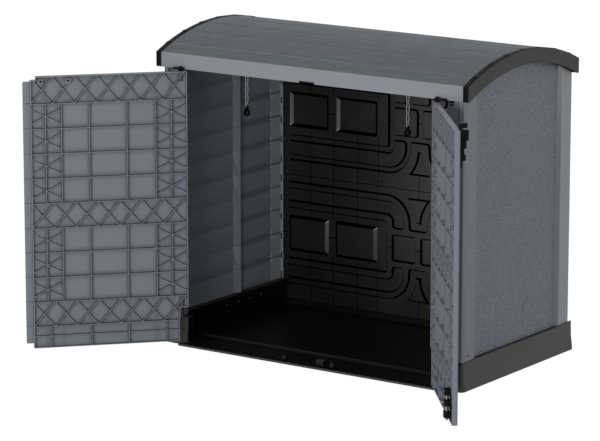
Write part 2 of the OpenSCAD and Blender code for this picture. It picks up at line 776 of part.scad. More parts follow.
// Two columns of star cells, beside the hinge edge and beside the free edge
module stars_2d() {
    edge = -hinge_inset;
    arm = plank_h * 0.3;
    for (s0 = [edge, free_s - side_col_w + 5], k = [1, 2, 3, 5, 6, 7, 8]) {
        zc = plank_z(k) + plank_h / 2;
        half = side_col_w / 2 - 3;
        sc = s0 + side_col_w / 2;
        for (d = [-1, 1])
            rib_line([sc - half, zc - d * arm], [sc + half, zc + d * arm]);
    }
    for (sc = [edge + side_col_w / 2, free_s + 5 - side_col_w / 2], rows = [[1, 4], [5, 9]])
        rib_line([sc, plank_z(rows[0])], [sc, plank_z(rows[1])]);
}

module grid_2d() {
    edge = -hinge_inset;
    low_row = door_foot_z + (first_plank_z - door_foot_z) * 0.55;
    for (k = [0 : 9])
        rib_line([edge + 1, plank_z(k)], [free_s - 1, plank_z(k)]);
    rib_line([column_notch_s, low_row], [free_s - 1, low_row]);
    middle = [edge + side_col_w, edge + (free_s - edge) * inner_ribs_s[0], edge + (free_s - edge) * inner_ribs_s[1],
        free_s + 5 - side_col_w];
    for (s = middle, rows = [[1, 4], [5, 9]])
        rib_line([s, plank_z(rows[0])], [s, plank_z(rows[1])]);
    for (s = [edge + 88, middle[1], middle[2], free_s - 70])
        rib_line([s, door_foot_z + 1], [s, first_plank_z]);
}

// Outline of a door with its two steps at the low hinge corner
module door_2d(g, step) {
    polygon([
        [column_notch_s + g, door_foot_z + g], [free_s - g, door_foot_z + g], [free_s - g, door_top - step - g],
        [free_s - 21 - g, door_top - step - g], [free_s - 21 - g, door_top - g],
        [-hinge_inset + g, door_top - g], [-hinge_inset + g, low_notch_z + g], [low_notch_s + g, low_notch_z + g],
        [low_notch_s + g, skirt_h + 5 + g], [column_notch_s + g, skirt_h + 5 + g]
    ]);
}

boss_s = [free_s - 148, free_s - 40];
boss_z = door_top - 20;
boss_half = 10.5;

// Door in its closed pose, with the hinge line at the origin and its ribs towards +Y
module door(with_overlap) {
    top_boss = top_pin_reach + 8;
    low_boss = pin_reach + 8;
    step = with_overlap ? 14 : 0;
    difference() {
        union() {
            along_y(-hinge_face, door_skin_t - hinge_face) door_2d(0, step);
            along_y(-hinge_face, door_in) difference() {
                door_2d(0, step);
                door_2d(rib_t, step);
            }
            along_y(door_skin_t - hinge_face - eps, door_in) intersection() {
                door_2d(1, step);
                union() {
                    truss_2d();
                    stars_2d();
                    grid_2d();
                }
            }
            translate([0, 0, door_top - top_boss]) cylinder(h = top_boss, r = boss_r);
            translate([0, 0, low_notch_z]) cylinder(h = low_boss, r = boss_r);
            if (with_overlap)
                overlap_strip();
            if (with_overlap)
                for (s = boss_s)
                    block([s - boss_half, -hinge_face + 1, boss_z - boss_half], [s + boss_half, door_in, boss_z + boss_half]);
        }
        translate([0, 0, door_top - top_pin_reach - 2]) cylinder(h = top_pin_reach + 3, r = door_bore_r);
        translate([0, 0, low_notch_z - 1]) cylinder(h = pin_reach + 3, r = door_bore_r);
        for (k = [0 : 9])
            block([-hinge_inset - 1, -hinge_face - 1, plank_z(k) - groove_w / 2],
                [free_s - 16, groove_d - hinge_face, plank_z(k) + groove_w / 2]);
        if (with_overlap)
            catch_screw_places() screw_hole(catch_screw_r, door_t + 1);
        else
            latch_screw_places() screw_hole(latch_screw_r, 20);
    }
}

// Strip on the left door that laps over the right one
module overlap_strip() {
    lap_t = 3;
    lap_gap = 0.4;
    difference() {
        along_y(-hinge_face - lap_t - lap_gap, -hinge_face + 0.5)
            round_rect(free_s - 14, free_s + overlap_w, door_foot_z + 16, door_top - 21, 7);
        block([free_s + 0.3, -hinge_face - lap_gap, 0], [free_s + overlap_w + 1, -hinge_face + 1, door_top]);
    }
}

// Places a part of a door at its open rest pose
module at_left_door() {
    translate([-hinge_x, hinge_y, 0]) rotate([0, 0, -left_open]) children();
}

module at_right_door() {
    translate([hinge_x, hinge_y, 0]) rotate([0, 0, right_open]) mirror([1, 0, 0]) children();
}

module door_left() { color("#6f7278") at_left_door() door(true); }
module door_right() { color("#6f7278") at_right_door() door(false); }

// Catch plate on the outside of the left door, with a bridge for the latch lever
catch_t = 4;
bridge_s = free_s - 38;

module catch_plate() {
    front = -hinge_face - seat_gap;
    color("#1c1d1f") at_left_door() difference() {
        union() {
            along_y(front - catch_t, front) round_rect(boss_s[0] - 14, boss_s[1] + 14, boss_z - 13, boss_z + 13, 6);
            for (z = [boss_z - 36, boss_z - 13 - eps])
                along_y(front - 19, front) round_rect(bridge_s - 8, bridge_s + 8, z, z + 8, 2);
            along_y(front - 19, front - 16) round_rect(bridge_s - 8, bridge_s + 8, boss_z - 36, boss_z - 5, 2);
            along_y(front - catch_t, front) round_rect(bridge_s - 11, bridge_s + 11, boss_z - 40, boss_z, 3);
        }
        catch_screw_places() screw_hole(catch_screw_r, door_t + 8);
    }
}

catch_screw_r = 4.5;

module catch_screw_places() {
    for (s = boss_s)
        translate([s, door_in, boss_z]) rotate([-90, 0, 0]) children();
}

module catch_screws() {
    color("#b9bcbf") at_left_door() catch_screw_places() screw(catch_screw_r, door_t + 3);
}

// Latch on the outside of the right door: a base plate and a turning lever with a hook
latch_s = free_s - 49;
latch_z = door_top - 58;
latch_face = -hinge_face - seat_gap;
latch_plate_t = 4;
latch_pin_r = 5;

module latch_base() {
    color("#1c1d1f") at_right_door() difference() {
        union() {
            along_y(latch_face - latch_plate_t, latch_face)
                round_rect(latch_s - 20, latch_s + 20, latch_z - 62, door_top - 6, 7);
            translate([latch_s, latch_face - latch_plate_t + eps, latch_z]) rotate([90, 0, 0]) cylinder(h = 16, r = latch_pin_r);
            along_y(latch_face - 24, latch_face) {
                round_rect(latch_s - 20, latch_s - 12, latch_z + 24, latch_z + 46, 2.5);
                round_rect(latch_s + 12, latch_s + 20, latch_z - 56, latch_z - 34, 2.5);
            }
        }
        latch_screw_places() screw_hole(latch_screw_r, 6);
    }
}

latch_screw_r = 4;

module latch_screw_places() {
    for (z = [latch_z - 42, door_top - 16])
        translate([latch_s, latch_face - latch_plate_t, z]) rotate([90, 0, 0]) children();
}

module latch_screws() {
    color("#b9bcbf") at_right_door() latch_screw_places() screw(latch_screw_r, latch_plate_t + door_skin_t);
}

// Lever about the latch pin: a hooked arm upwards, a hub and a finger bar downwards
module latch_lever() {
    near = latch_face - latch_plate_t - 2.2;
    arm_len = door_top + 12 - latch_z;
    color("#101112") at_right_door() translate([latch_s, 0, latch_z]) difference() {
        union() {
            along_y(near - 6, near) {
                round_rect(-8, 8, 0, arm_len, 5);
                round_rect(-8, 19, arm_len - 14, arm_len, 4);
            }
            translate([0, near, 0]) rotate([90, 0, 0]) cylinder(h = 9.5, r = 13);
            along_y(near - 30, near - 4) round_rect(-8, 8, arm_len - 40, arm_len - 27, 4);
            along_y(near - 6, near) round_rect(-7, 7, -86, 0, 5);
            along_y(near - 12, near - 5) round_rect(-7, 7, -86, -66, 4);
        }
        translate([0, near + 1, 0]) rotate([90, 0, 0]) cylinder(h = 40, r = latch_pin_r + run_gap);
    }
}

// Slide bolt on the inside of the right door
housing_low = door_foot_z + 15;
housing_high = housing_low + 115;
bolt_r = bolt_d / 2;
knob_z = housing_low + 62;
knob_r = 4;

module bolt_housing() {
    wide = 17;
    out = door_in + 24;
    front = door_in + seat_gap;
    color("#141517") at_right_door() difference() {
        union() {
            along_y(front, front + 3) round_rect(bolt_s - wide - 6, bolt_s + wide + 6, housing_low, housing_high, 5);
            along_y(front, out) for (z = [housing_low + 3, housing_low + 47, housing_high - 27])
                round_rect(bolt_s - wide, bolt_s + wide, z, z + 24, 4);
            along_y(-hinge_face - 6, -hinge_face - seat_gap) round_rect(bolt_s - 9, bolt_s + 9, door_foot_z + 65, door_foot_z + 95, 6);
        }
        translate([bolt_s, bolt_out, housing_low - 1]) cylinder(h = housing_high, r = bolt_r + run_gap);
        along_y(bolt_out, out + 1) round_rect(bolt_s - knob_r - 1, bolt_s + knob_r + 1, knob_z - bolt_travel - knob_r - 1, knob_z + knob_r + 1, 2);
        bolt_screw_places() screw_hole(bolt_screw_r, 4);
    }
}

bolt_screw_r = 3.4;

module bolt_screw_places() {
    for (x = [-1, 1], z = [housing_low + 35, housing_high - 35])
        translate([bolt_s + x * 17, door_in + 3 + seat_gap, z]) rotate([-90, 0, 0]) children();
}

module bolt_screws() {
    color("#b9bcbf") at_right_door() bolt_screw_places() screw(bolt_screw_r, 2.9);
}

module slide_bolt() {
    bolt_low = keeper_top + 2;
    color("#9a9da0") at_right_door() union() {
        translate([bolt_s, bolt_out, bolt_low]) cylinder(h = housing_high - 12 - bolt_low, r = bolt_r);
        translate([bolt_s, bolt_out, knob_z]) rotate([-90, 0, 0]) cylinder(h = 22, r = knob_r);
        translate([bolt_s, bolt_out + 22, knob_z]) rotate([-90, 0, 0]) cylinder(h = 4, r = knob_r + 2);
    }
}

// Lid: an arched sheet with a vertical fascia and rear skirt
module lid_profile(inset_by) {
    r = lid_r - inset_by;
    intersection() {
        translate([lid_mid_y, lid_arc_z]) circle(r, $fn = 240);
        translate([lid_front + inset_by, eaves_h - (inset_by > 0 ? 1 : 0)])
            square([lid_depth - 2 * inset_by, fascia_h + lid_rise + 2]);
    }
}

module lid_ring(outer_r, inner_r) {
    difference() {
        intersection() {
            translate([lid_mid_y, lid_arc_z]) circle(outer_r, $fn = 240);
            translate([lid_front, eaves_h]) square([lid_depth, fascia_h + lid_rise + 6]);
        }
        translate([lid_mid_y, lid_arc_z]) circle(inner_r, $fn = 240);
    }
}

rib_xs = [-chain_x - 97, -chain_x + 97, -97, 97, chain_x - 97, chain_x + 97];
notch_x = [-40, 30];
notch_h = 8;

module lid_shell() {
    in_r = lid_r - lid_t;
    color("#5f6566") difference() {
        union() {
            along_x(-lid_sheet_x, lid_sheet_x) difference() {
                lid_profile(0);
                lid_profile(lid_t);
            }
            for (x = rib_xs)
                along_x(x - 2, x + 2) intersection() {
                    lid_ring(in_r + 1, in_r - lid_rib_d);
                    translate([lid_front + 1, eaves_h]) square([lid_depth - 2, 400]);
                }
            block([-lid_sheet_x, lid_front + 1, eaves_h], [lid_sheet_x, lid_front + lid_t + 6, eaves_h + 4]);
            block([-rail_x, lid_back - lid_t - 5, eaves_h], [rail_x, lid_back - 1, eaves_h + 4]);
            for (x = hinge_places)
                lid_knuckle(x);
        }
        for (i = [0 : lid_grooves - 1]) {
            angle = ((i - (lid_grooves - 1) / 2) * lid_groove_pitch / lid_arc_len) * lid_arc_angle;
            translate([0, lid_mid_y, lid_arc_z]) rotate([-angle, 0, 0])
                block([-lid_sheet_x - 1, -groove_w / 2, lid_r - groove_d], [lid_sheet_x + 1, groove_w / 2, lid_r + 2]);
        }
        block([notch_x[0], lid_front - 1, eaves_h - 1], [notch_x[1], lid_front + lid_t + 7, eaves_h + notch_h]);
    }
}

module lid_knuckle(x) {
    difference() {
        along_x(x - lid_knuckle_len / 2, x + lid_knuckle_len / 2) {
            translate([lid_hinge_y, lid_hinge_z]) circle(knuckle_r);
            polygon([
                [lid_back - 1, lid_hinge_z + 34], [lid_back - 1, lid_hinge_z + 10], [lid_hinge_y - 5, lid_hinge_z],
                [lid_hinge_y + 6.5, lid_hinge_z], [lid_hinge_y + 4, lid_hinge_z + 10], [lid_back + 1, lid_hinge_z + 34]
            ]);
        }
        translate([x - lid_knuckle_len, lid_hinge_y, lid_hinge_z]) rotate([0, 90, 0])
            cylinder(h = 2 * lid_knuckle_len, r = lid_pin_d / 2 + run_gap);
    }
}

// End cap: an arched band that stands a little proud of the sheet, with a recess in its front end
module lid_cap() {
    proud = 1.5;
    low_r = lid_r - cap_h;
    wall = 5;
    difference() {
        union() {
            along_x(lid_sheet_x, lid_sheet_x + cap_w) lid_ring(lid_r, low_r);
            along_x(lid_sheet_x + 4, lid_sheet_x + cap_w - 3) lid_ring(lid_r + proud, lid_r - 10);
            for (i = [0 : lid_grooves - 1]) {
                angle = ((i - (lid_grooves - 1) / 2) * lid_groove_pitch / lid_arc_len) * lid_arc_angle;
                translate([0, lid_mid_y, lid_arc_z]) rotate([-angle, 0, 0])
                    block([lid_sheet_x + 1, -8, lid_r - 3], [lid_sheet_x + cap_w - 1, 8, lid_r + proud + 1]);
            }
        }
        block([lid_sheet_x + wall, lid_front - 1, eaves_h + 5], [lid_sheet_x + cap_w - wall, lid_front + 3, eaves_h + fascia_h - 5]);
        along_x(lid_sheet_x + wall, lid_sheet_x + cap_w - wall) difference() {
            translate([lid_mid_y, lid_arc_z]) circle(lid_r - 12, $fn = 240);
            translate([-2000, -2000]) square([4000, 2000 + eaves_h - 1]);
            translate([lid_back - 6, 0]) square([400, 2000]);
            translate([lid_front - 400, 0]) square([406, 2000]);
        }
    }
}

module lid_cap_left() { color("#4a4a4a") on_side(-1) lid_cap(); }
module lid_cap_right() { color("#4a4a4a") on_side(1) lid_cap(); }

// Black liner in the fascia's notch, which the latch hook goes through
module lid_strike() {
    t = 2;
    x0 = notch_x[0];
    x1 = notch_x[1];
    color("#111213") difference() {
        block([x0, lid_front - 1, eaves_h + 0.2], [x1, lid_front + lid_t + 6, eaves_h + notch_h]);
        block([x0 + t, lid_front - 2, eaves_h - 1], [x1 - t, lid_front + lid_t + 8, eaves_h + notch_h - t]);
    }
}

// Wire staples under the lid that the chains hang from
module chain_staples() {
    r = wire_d / 2;
    half = 10;
    color("#b4b7ba") for (side = [-1, 1]) translate([side * chain_x, chain_y, staple_z]) union() {
        translate([-half, 0, 0]) rotate([0, 90, 0]) cylinder(h = 2 * half, r = r);
        for (x = [-half, half]) {
            translate([x, 0, 0]) sphere(r);
            translate([x, 0, 0]) cylinder(h = staple_drop - 0.8, r = r);
        }
    }
}

// One chain link in the YZ plane about its own middle
module link() {
    bend = (link_gap + wire_d) / 2;
    straight = link_inner - link_gap;
    for (end = [-1, 1])
        translate([0, 0, end * straight / 2]) rotate([0, 90, 0]) rotate([0, 0, end > 0 ? 90 : -90])
            rotate_extrude(angle = 180, $fn = 32) translate([bend, 0]) circle(wire_d / 2, $fn = 24);
    for (y = [-bend, bend])
        translate([0, y, -straight / 2 - 0.01]) cylinder(h = straight + 0.02, r = wire_d / 2, $fn = 24);
}

first_link_z = staple_z + wire_d / 2 + seat_gap - link_inner / 2;

module chain(side) {
    for (i = [0 : links - 1])
        translate([side * chain_x, chain_y, first_link_z - i * link_pitch]) rotate([0, 0, i % 2 == 0 ? 0 : 90]) link();
}

// Snap hook: a thin eye that hangs in the last link, over a thick body with a small opening
eye_t = 3.4;
eye_bar = 5.2;
eye_mid_r = wire_d / 2 + 0.8 + eye_bar / 2;
eye_z = first_link_z - (links - 1) * link_pitch - link_inner / 2 + 0.75 - eye_mid_r + eye_bar / 2;
hook_t = 8;

module snap_hook(side) {
    turn = links % 2 == 1 ? 0 : 90;
    ring = [for (a = [-30 : 20 : 210]) [cos(a), sin(a)]];
    translate([side * chain_x, chain_y, eye_z]) rotate([0, 0, turn]) {
        along_y(-eye_t / 2, eye_t / 2) difference() {
            polygon(concat((eye_mid_r + eye_bar / 2) * ring, [[-8, -10], [8, -10]]));
            circle(eye_mid_r - eye_bar / 2, $fn = 24);
        }
        along_y(-hook_t / 2, hook_t / 2) difference() {
            polygon([
                [-6, -6.5], [-9, -9], [-14, -19], [-14.5, -31], [-11.5, -35], [4, -35], [9, -32], [12.5, -25],
                [12.5, -17], [8.5, -9], [6, -6.5]
            ]);
            polygon([[1, -13], [-3, -17], [-6, -27], [2, -28], [5, -24], [5, -17]]);
        }
    }
}

module chain_left() { color("#b4b7ba") chain(-1); }
module chain_right() { color("#b4b7ba") chain(1); }
module snap_hook_left() { color("#151617") snap_hook(-1); }
module snap_hook_right() { color("#151617") snap_hook(1); }

floor_tray();
skirt_left();
skirt_right();
floor_screws();
door_stops();
bolt_keeper();
side_wall_left();
side_wall_right();
wall_screws();
back_panel_lower();
back_panel_upper();
rear_rail();
lid_hinge_leaves();
leaf_screws();
lid_hinge_rods();
top_bracket_left();
top_bracket_right();
low_bracket_left();
low_bracket_right();
bracket_screws();
door_pins_left();
door_pins_right();
lid_shell();
lid_cap_left();
lid_cap_right();
lid_strike();
chain_staples();
chain_left();
snap_hook_left();
chain_right();
snap_hook_right();
door_left();
catch_plate();
catch_screws();
door_right();
latch_base();
latch_screws();
latch_lever();
bolt_housing();
bolt_screws();
slide_bolt();
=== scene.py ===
import json
import math

import bmesh
import bpy
import numpy as np
from mathutils.geometry import delaunay_2d_cdt
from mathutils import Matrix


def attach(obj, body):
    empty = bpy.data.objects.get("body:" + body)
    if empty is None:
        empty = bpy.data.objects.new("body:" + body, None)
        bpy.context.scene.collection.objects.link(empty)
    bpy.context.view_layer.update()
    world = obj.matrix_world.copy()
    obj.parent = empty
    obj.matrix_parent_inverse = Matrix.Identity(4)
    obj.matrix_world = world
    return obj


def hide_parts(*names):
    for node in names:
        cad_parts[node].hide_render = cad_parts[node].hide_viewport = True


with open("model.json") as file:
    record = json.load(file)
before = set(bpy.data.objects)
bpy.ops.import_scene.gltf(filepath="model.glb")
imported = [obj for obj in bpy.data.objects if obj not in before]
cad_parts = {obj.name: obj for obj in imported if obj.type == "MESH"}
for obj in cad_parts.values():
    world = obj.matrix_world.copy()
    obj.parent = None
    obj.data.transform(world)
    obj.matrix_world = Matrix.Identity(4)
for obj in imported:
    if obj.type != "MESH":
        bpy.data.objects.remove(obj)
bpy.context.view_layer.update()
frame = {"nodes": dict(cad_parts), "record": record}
scene = bpy.context.scene
nodes = frame["nodes"]
bodyOf = {node: body for body, members in frame["record"]["behaviour"]["bodies"].items() for node in members}
slotOf = {row["node"]: row["material_slot"] for row in frame["record"]["subparts"]}
print("frame loaded,", len(nodes), "nodes")


def addNode(tree, kind, place=(0, 0), **values):
    node = tree.nodes.new(kind)
    node.location = place
    for key, value in values.items():
        if key in node.inputs:
            node.inputs[key].default_value = value
        else:
            setattr(node, key, value)
    return node


def ramp(tree, source, stops, place):  # value from 0 to 1 turned into a colour, linear between the stops
    node = addNode(tree, "ShaderNodeValToRGB", place)
    elements = node.color_ramp.elements
    for element, (at, colour) in zip(elements, (stops[0], stops[-1])):
        element.position = at
        element.color = (*colour, 1)
    for at, colour in stops[1:-1]:
        elements.new(at).color = (*colour, 1)
    tree.links.new(source, node.inputs["Fac"])
    return node.outputs["Color"]


def maths(tree, operation, first, second=None, place=(0, 0)):
    node = addNode(tree, "ShaderNodeMath", place, operation=operation)
    for socket, value in zip(node.inputs, (first, second)):
        if value is None:
            continue
        if isinstance(value, (int, float)):
            socket.default_value = value
        else:
            tree.links.new(value, socket)
    return node.outputs[0]


def folded(tree, operation, values, place):  # one operation taken over all the values in turn
    total = values[0]
    for value in values[1:]:
        total = maths(tree, operation, total, value, place)
    return total


def gapTo(tree, value, at, place):
    return maths(tree, "ABSOLUTE", maths(tree, "SUBTRACT", value, at, place), None, place)


def between(tree, value, low, high, soft, place):  # 1 from low to high with soft ends, None for no limit
    steps = []
    for edge, ends in ((low, (0.0, 1.0)), (high, (1.0, 0.0))):
        if edge is None:
            continue
        step = addNode(tree, "ShaderNodeMapRange", place, interpolation_type="SMOOTHSTEP")
        tree.links.new(value, step.inputs["Value"])
        step.inputs["From Min"].default_value = edge - soft
        step.inputs["From Max"].default_value = edge + soft
        step.inputs["To Min"].default_value, step.inputs["To Max"].default_value = ends
        steps.append(step.outputs["Result"])
    return folded(tree, "MULTIPLY", steps, place)


def mixed(tree, factor, first, second, place):  # from the first colour to the second by a mask
    mix = addNode(tree, "ShaderNodeMix", place, data_type="RGBA")
    colourA, colourB, result = mix.inputs[6], mix.inputs[7], mix.outputs[2]
    tree.links.new(factor, mix.inputs["Factor"])
    tree.links.new(first, colourA)
    if isinstance(second, tuple):
        colourB.default_value = (*second, 1)
    else:
        tree.links.new(second, colourB)
    return result


def axes(tree, vector, place):
    split = addNode(tree, "ShaderNodeSeparateXYZ", place)
    tree.links.new(vector, split.inputs[0])
    return split.outputs


def vectorMaths(tree, operation, vector, constant, place):
    node = addNode(tree, "ShaderNodeVectorMath", place, operation=operation)
    tree.links.new(vector, node.inputs[0])
    node.inputs[1].default_value = constant
    return node.outputs["Value" if operation == "DOT_PRODUCT" else "Vector"]


def hexColour(text):  # sRGB hex to the linear values that a shader takes
    parts = np.array([int(text[i:i + 2], 16) for i in (1, 3, 5)]) / 255
    return tuple(np.where(parts <= 0.04045, parts / 12.92, ((parts + 0.055) / 1.055) ** 2.4))


def shade(colour, amount):  # the same colour, lighter above 1 and darker below
    return tuple(min(1.0, c * amount) for c in colour)


# Where a point lies on a row's own line: along its direction from its origin, away from the lid's arc axis
# ("ring"), or along X, Y or Z, which counts on both sides of the middle plane unless it is signed
def distance(tree, coords, row, place):
    if "direction" in row:
        moved = vectorMaths(tree, "SUBTRACT", coords, row["origin"], place)
        return vectorMaths(tree, "DOT_PRODUCT", moved, row["direction"], place)
    if row["axis"] == "ring":
        moved = axes(tree, vectorMaths(tree, "SUBTRACT", coords, row["centre"], place), place)
        squares = [maths(tree, "POWER", moved[name], 2.0, place) for name in "YZ"]
        return maths(tree, "SQRT", folded(tree, "ADD", squares, place), None, place)
    value = axes(tree, coords, place)[row["axis"]]
    return value if row.get("signed") else maths(tree, "ABSOLUTE", value, None, place)


# Painted shade on the back's pattern, not a darker plastic. The less of a face's normal lies along Y, the
# steeper it is: slopes are painted dark unless they face right, towards the light, and walls are painted dark
# all over the pattern's width
def steepShadeMask(tree, coords, row, place):
    normal = axes(tree, addNode(tree, "ShaderNodeNewGeometry", place).outputs["Normal"], place)
    levelness = maths(tree, "ABSOLUTE", normal["Y"], None, place)
    across = maths(tree, "ABSOLUTE", axes(tree, coords, place)["X"], None, place)
    slopes = (between(tree, levelness, None, row["slopeLimit"], row["soft"], place),
              between(tree, normal["X"], None, row["facingRight"], row["facingSoft"], place))
    walls = (between(tree, levelness, None, row["wallLimit"], row["soft"], place),
             between(tree, across, None, row["within"], row["withinSoft"], place))
    return folded(tree, "MAXIMUM", [folded(tree, "MULTIPLY", pair, place) for pair in (slopes, walls)], place)


# Thin lines (low x, high x, low z, high z), on both sides, with z counted from the middle of the nearer half
def seamMask(tree, coords, row, place):
    point = axes(tree, coords, place)
    across = maths(tree, "ABSOLUTE", point["X"], None, place)
    up = folded(tree, "MINIMUM", [gapTo(tree, point["Z"], middle, place) for middle in row["middles"]], place)
    seams = [folded(tree, "MULTIPLY", (between(tree, across, x0, x1, row["soft"], place),
                                       between(tree, up, z0, z1, row["soft"], place)), place)
             for x0, x1, z0, z1 in row["lines"]]
    return folded(tree, "MAXIMUM", seams, place)


def rowMask(tree, coords, row, place):
    if "slopeLimit" in row:
        return steepShadeMask(tree, coords, row, place)
    if "lines" in row:
        return seamMask(tree, coords, row, place)
    value = distance(tree, coords, row, place)
    if "places" not in row:
        return between(tree, value, row["low"], row["high"], row["soft"], place)
    nearest = folded(tree, "MINIMUM", [gapTo(tree, value, at, place) for at in row["places"]], place)
    return between(tree, nearest, None, row["reach"] / 2, row["reach"] / 2, place)


def masked(tree, coords, rows, place):  # 1 where every row is met
    return folded(tree, "MULTIPLY", [rowMask(tree, coords, row, place) for row in rows], place)


# Embossed wood: noise squeezed across the grain and stretched along it, as tones and as height
def woodGrain(tree, coords, grain, base, roughness, bump):
    stretch = [grain["across"]] * 3
    stretch["XYZ".index(grain["axis"])] = grain["along"]
    mapping = addNode(tree, "ShaderNodeMapping", (-1400, -400), Scale=stretch)
    tree.links.new(coords, mapping.inputs["Vector"])
    streak = addNode(tree, "ShaderNodeTexNoise", (-1200, -400), Scale=1.0, Detail=8.0, Roughness=0.7,
                     Distortion=0.6)
    tree.links.new(mapping.outputs["Vector"], streak.inputs["Vector"])
    stops = [(at, hexColour(tone)) for at, tone in zip((0.36, 0.5, 0.64), grain["tones"])]
    wood = ramp(tree, streak.outputs["Fac"], stops, (-900, -300))
    where = masked(tree, coords, grain["where"], (-1700, -900))
    grainBump = addNode(tree, "ShaderNodeBump", (0, -300), Strength=grain["bump"], Distance=0.0012)
    height = maths(tree, "MULTIPLY", streak.outputs["Fac"], where, (-200, -600))
    tree.links.new(height, grainBump.inputs["Height"])
    tree.links.new(bump, grainBump.inputs["Normal"])
    duller = maths(tree, "MULTIPLY", where, grain["dulling"], (-400, 600))
    return (mixed(tree, where, base, wood, (-400, 100)), maths(tree, "ADD", roughness, duller, (-200, 500)),
            grainBump.outputs["Normal"])


# Moulded plastic: a cloudy base colour, a fine orange-peel bump, wood grain where it is embossed, and layers
# of another colour or of less gloss; many of the colour layers are painted light or shade
def mouldedPlastic(name, settings):
    mat = bpy.data.materials.new(name)
    mat.use_nodes = True
    tree = mat.node_tree
    shader = tree.nodes["Principled BSDF"]
    colour, spread = hexColour(settings["colour"]), settings["spread"]
    rough, roughSpread = settings["roughness"], 0.05
    coords = addNode(tree, "ShaderNodeTexCoord", (-2200, 0)).outputs["Object"]
    cloud = addNode(tree, "ShaderNodeTexNoise", (-1000, 200), Scale=7.0, Detail=4.0, Roughness=0.6)
    speck = addNode(tree, "ShaderNodeTexNoise", (-1000, -100), Scale=900.0, Detail=2.0, Roughness=0.7)
    for noise in (cloud, speck):
        tree.links.new(coords, noise.inputs["Vector"])
    tones = [(0.3, shade(colour, 1 - spread)), (0.7, shade(colour, 1 + spread))]
    base = ramp(tree, cloud.outputs["Fac"], tones, (-700, 200))
    polish = [(0.25, (rough - roughSpread,) * 3), (0.75, (rough + roughSpread,) * 3)]
    roughness = ramp(tree, cloud.outputs["Fac"], polish, (-700, 500))
    speckBump = addNode(tree, "ShaderNodeBump", (-200, -300), Strength=0.12, Distance=0.0004)
    tree.links.new(speck.outputs["Fac"], speckBump.inputs["Height"])
    bump = speckBump.outputs["Normal"]
    if "grain" in settings:
        base, roughness, bump = woodGrain(tree, coords, settings["grain"], base, roughness, bump)
    gloss = [settings.get("specular", 0.4)]
    for number, row in enumerate(settings.get("layers", ())):
        mask = masked(tree, coords, row["where"], (-1500, 900 + 500 * number))
        if row["glossDown"]:
            lost = maths(tree, "MULTIPLY", mask, row["glossDown"], (400, 600))
            gloss.append(maths(tree, "SUBTRACT", 1.0, lost, (400, 600)))
        if row["colour"]:
            base = mixed(tree, mask, base, hexColour(row["colour"]), (200, 300 + 250 * number))
    tree.links.new(base, shader.inputs["Base Color"])
    tree.links.new(roughness, shader.inputs["Roughness"])
    tree.links.new(bump, shader.inputs["Normal"])
    if len(gloss) == 1:
        shader.inputs["Specular IOR Level"].default_value = gloss[0]
    else:
        tree.links.new(folded(tree, "MULTIPLY", gloss, (500, 500)), shader.inputs["Specular IOR Level"])
    return mat


# Bright zinc: a mottled metal with patches of different polish
def zincSteel(name, low, high):
    mat = bpy.data.materials.new(name)
    mat.use_nodes = True
    tree = mat.node_tree
    shader = tree.nodes["Principled BSDF"]
    coords = addNode(tree, "ShaderNodeTexCoord", (-900, 0))
    flow = addNode(tree, "ShaderNodeTexNoise", (-700, 0), Scale=260.0, Detail=5.0, Roughness=0.7)
    tree.links.new(coords.outputs["Object"], flow.inputs["Vector"])
    tones = ramp(tree, flow.outputs["Fac"], [(0.3, low), (0.7, high)], (-450, 100))
    polish = ramp(tree, flow.outputs["Fac"], [(0.3, (0.22,) * 3), (0.7, (0.4,) * 3)], (-450, -150))
    tree.links.new(tones, shader.inputs["Base Color"])
    tree.links.new(polish, shader.inputs["Roughness"])
    shader.inputs["Metallic"].default_value = 1.0
    return mat


def limits(line, low=None, high=None, soft=0.0003):
    return {**line, "low": low, "high": high, "soft": soft}


def near(line, reach, places):
    return {**line, "reach": reach, "places": places}


def layer(colour, *where, glossDown=0.0):
    return {"colour": colour, "where": where, "glossDown": glossDown}


# The lines that masks are measured on. On a door in its open pose, depth is counted from the hinge line with
# the ribs on the high side, and span towards the free edge
outwards, backwards, upwards = {"axis": "X"}, {"axis": "Y", "signed": True}, {"axis": "Z", "signed": True}
lidRadius = {"axis": "ring", "centre": (0.0, -0.010, 0.25965)}
leftDepth = {"origin": (-0.596, -0.431, 0.0), "direction": (0.7314, -0.6820, 0.0)}
leftSpan = {"origin": (-0.596, -0.431, 0.0), "direction": (-0.6820, -0.7314, 0.0)}
rightDepth = {"origin": (0.596, -0.431, 0.0), "direction": (-0.7660, -0.6428, 0.0)}

plankHeights = tuple(0.111 + 0.099 * k for k in range(11))
insideFace = limits(outwards, None, 0.6822)  # of a wall, with its planks, pilaster and rear strip
insidePlanks = (insideFace, limits(backwards, 0.0810, 0.2985, 0.001))
insidePilaster = (insideFace, limits(backwards, 0.0360, 0.0750, 0.001))
insideRear = (insideFace, limits(backwards, 0.2985, 0.3720, 0.001))
lidTop = limits(upwards, 1.1765, None, 0.0008)
sideFace = limits(outwards, 0.7243, None, 0.0002)  # of a skirt or an end cap
leftInside, leftRibs = limits(leftDepth, -0.0045), (0.0385, 0.1009, 0.2154, 0.3645, 0.4746, 0.5370)
besideStrip, skinAndRibs = limits(leftSpan, None, 0.5945), limits(leftDepth, -0.0067)
doorOutside = "#62656b"

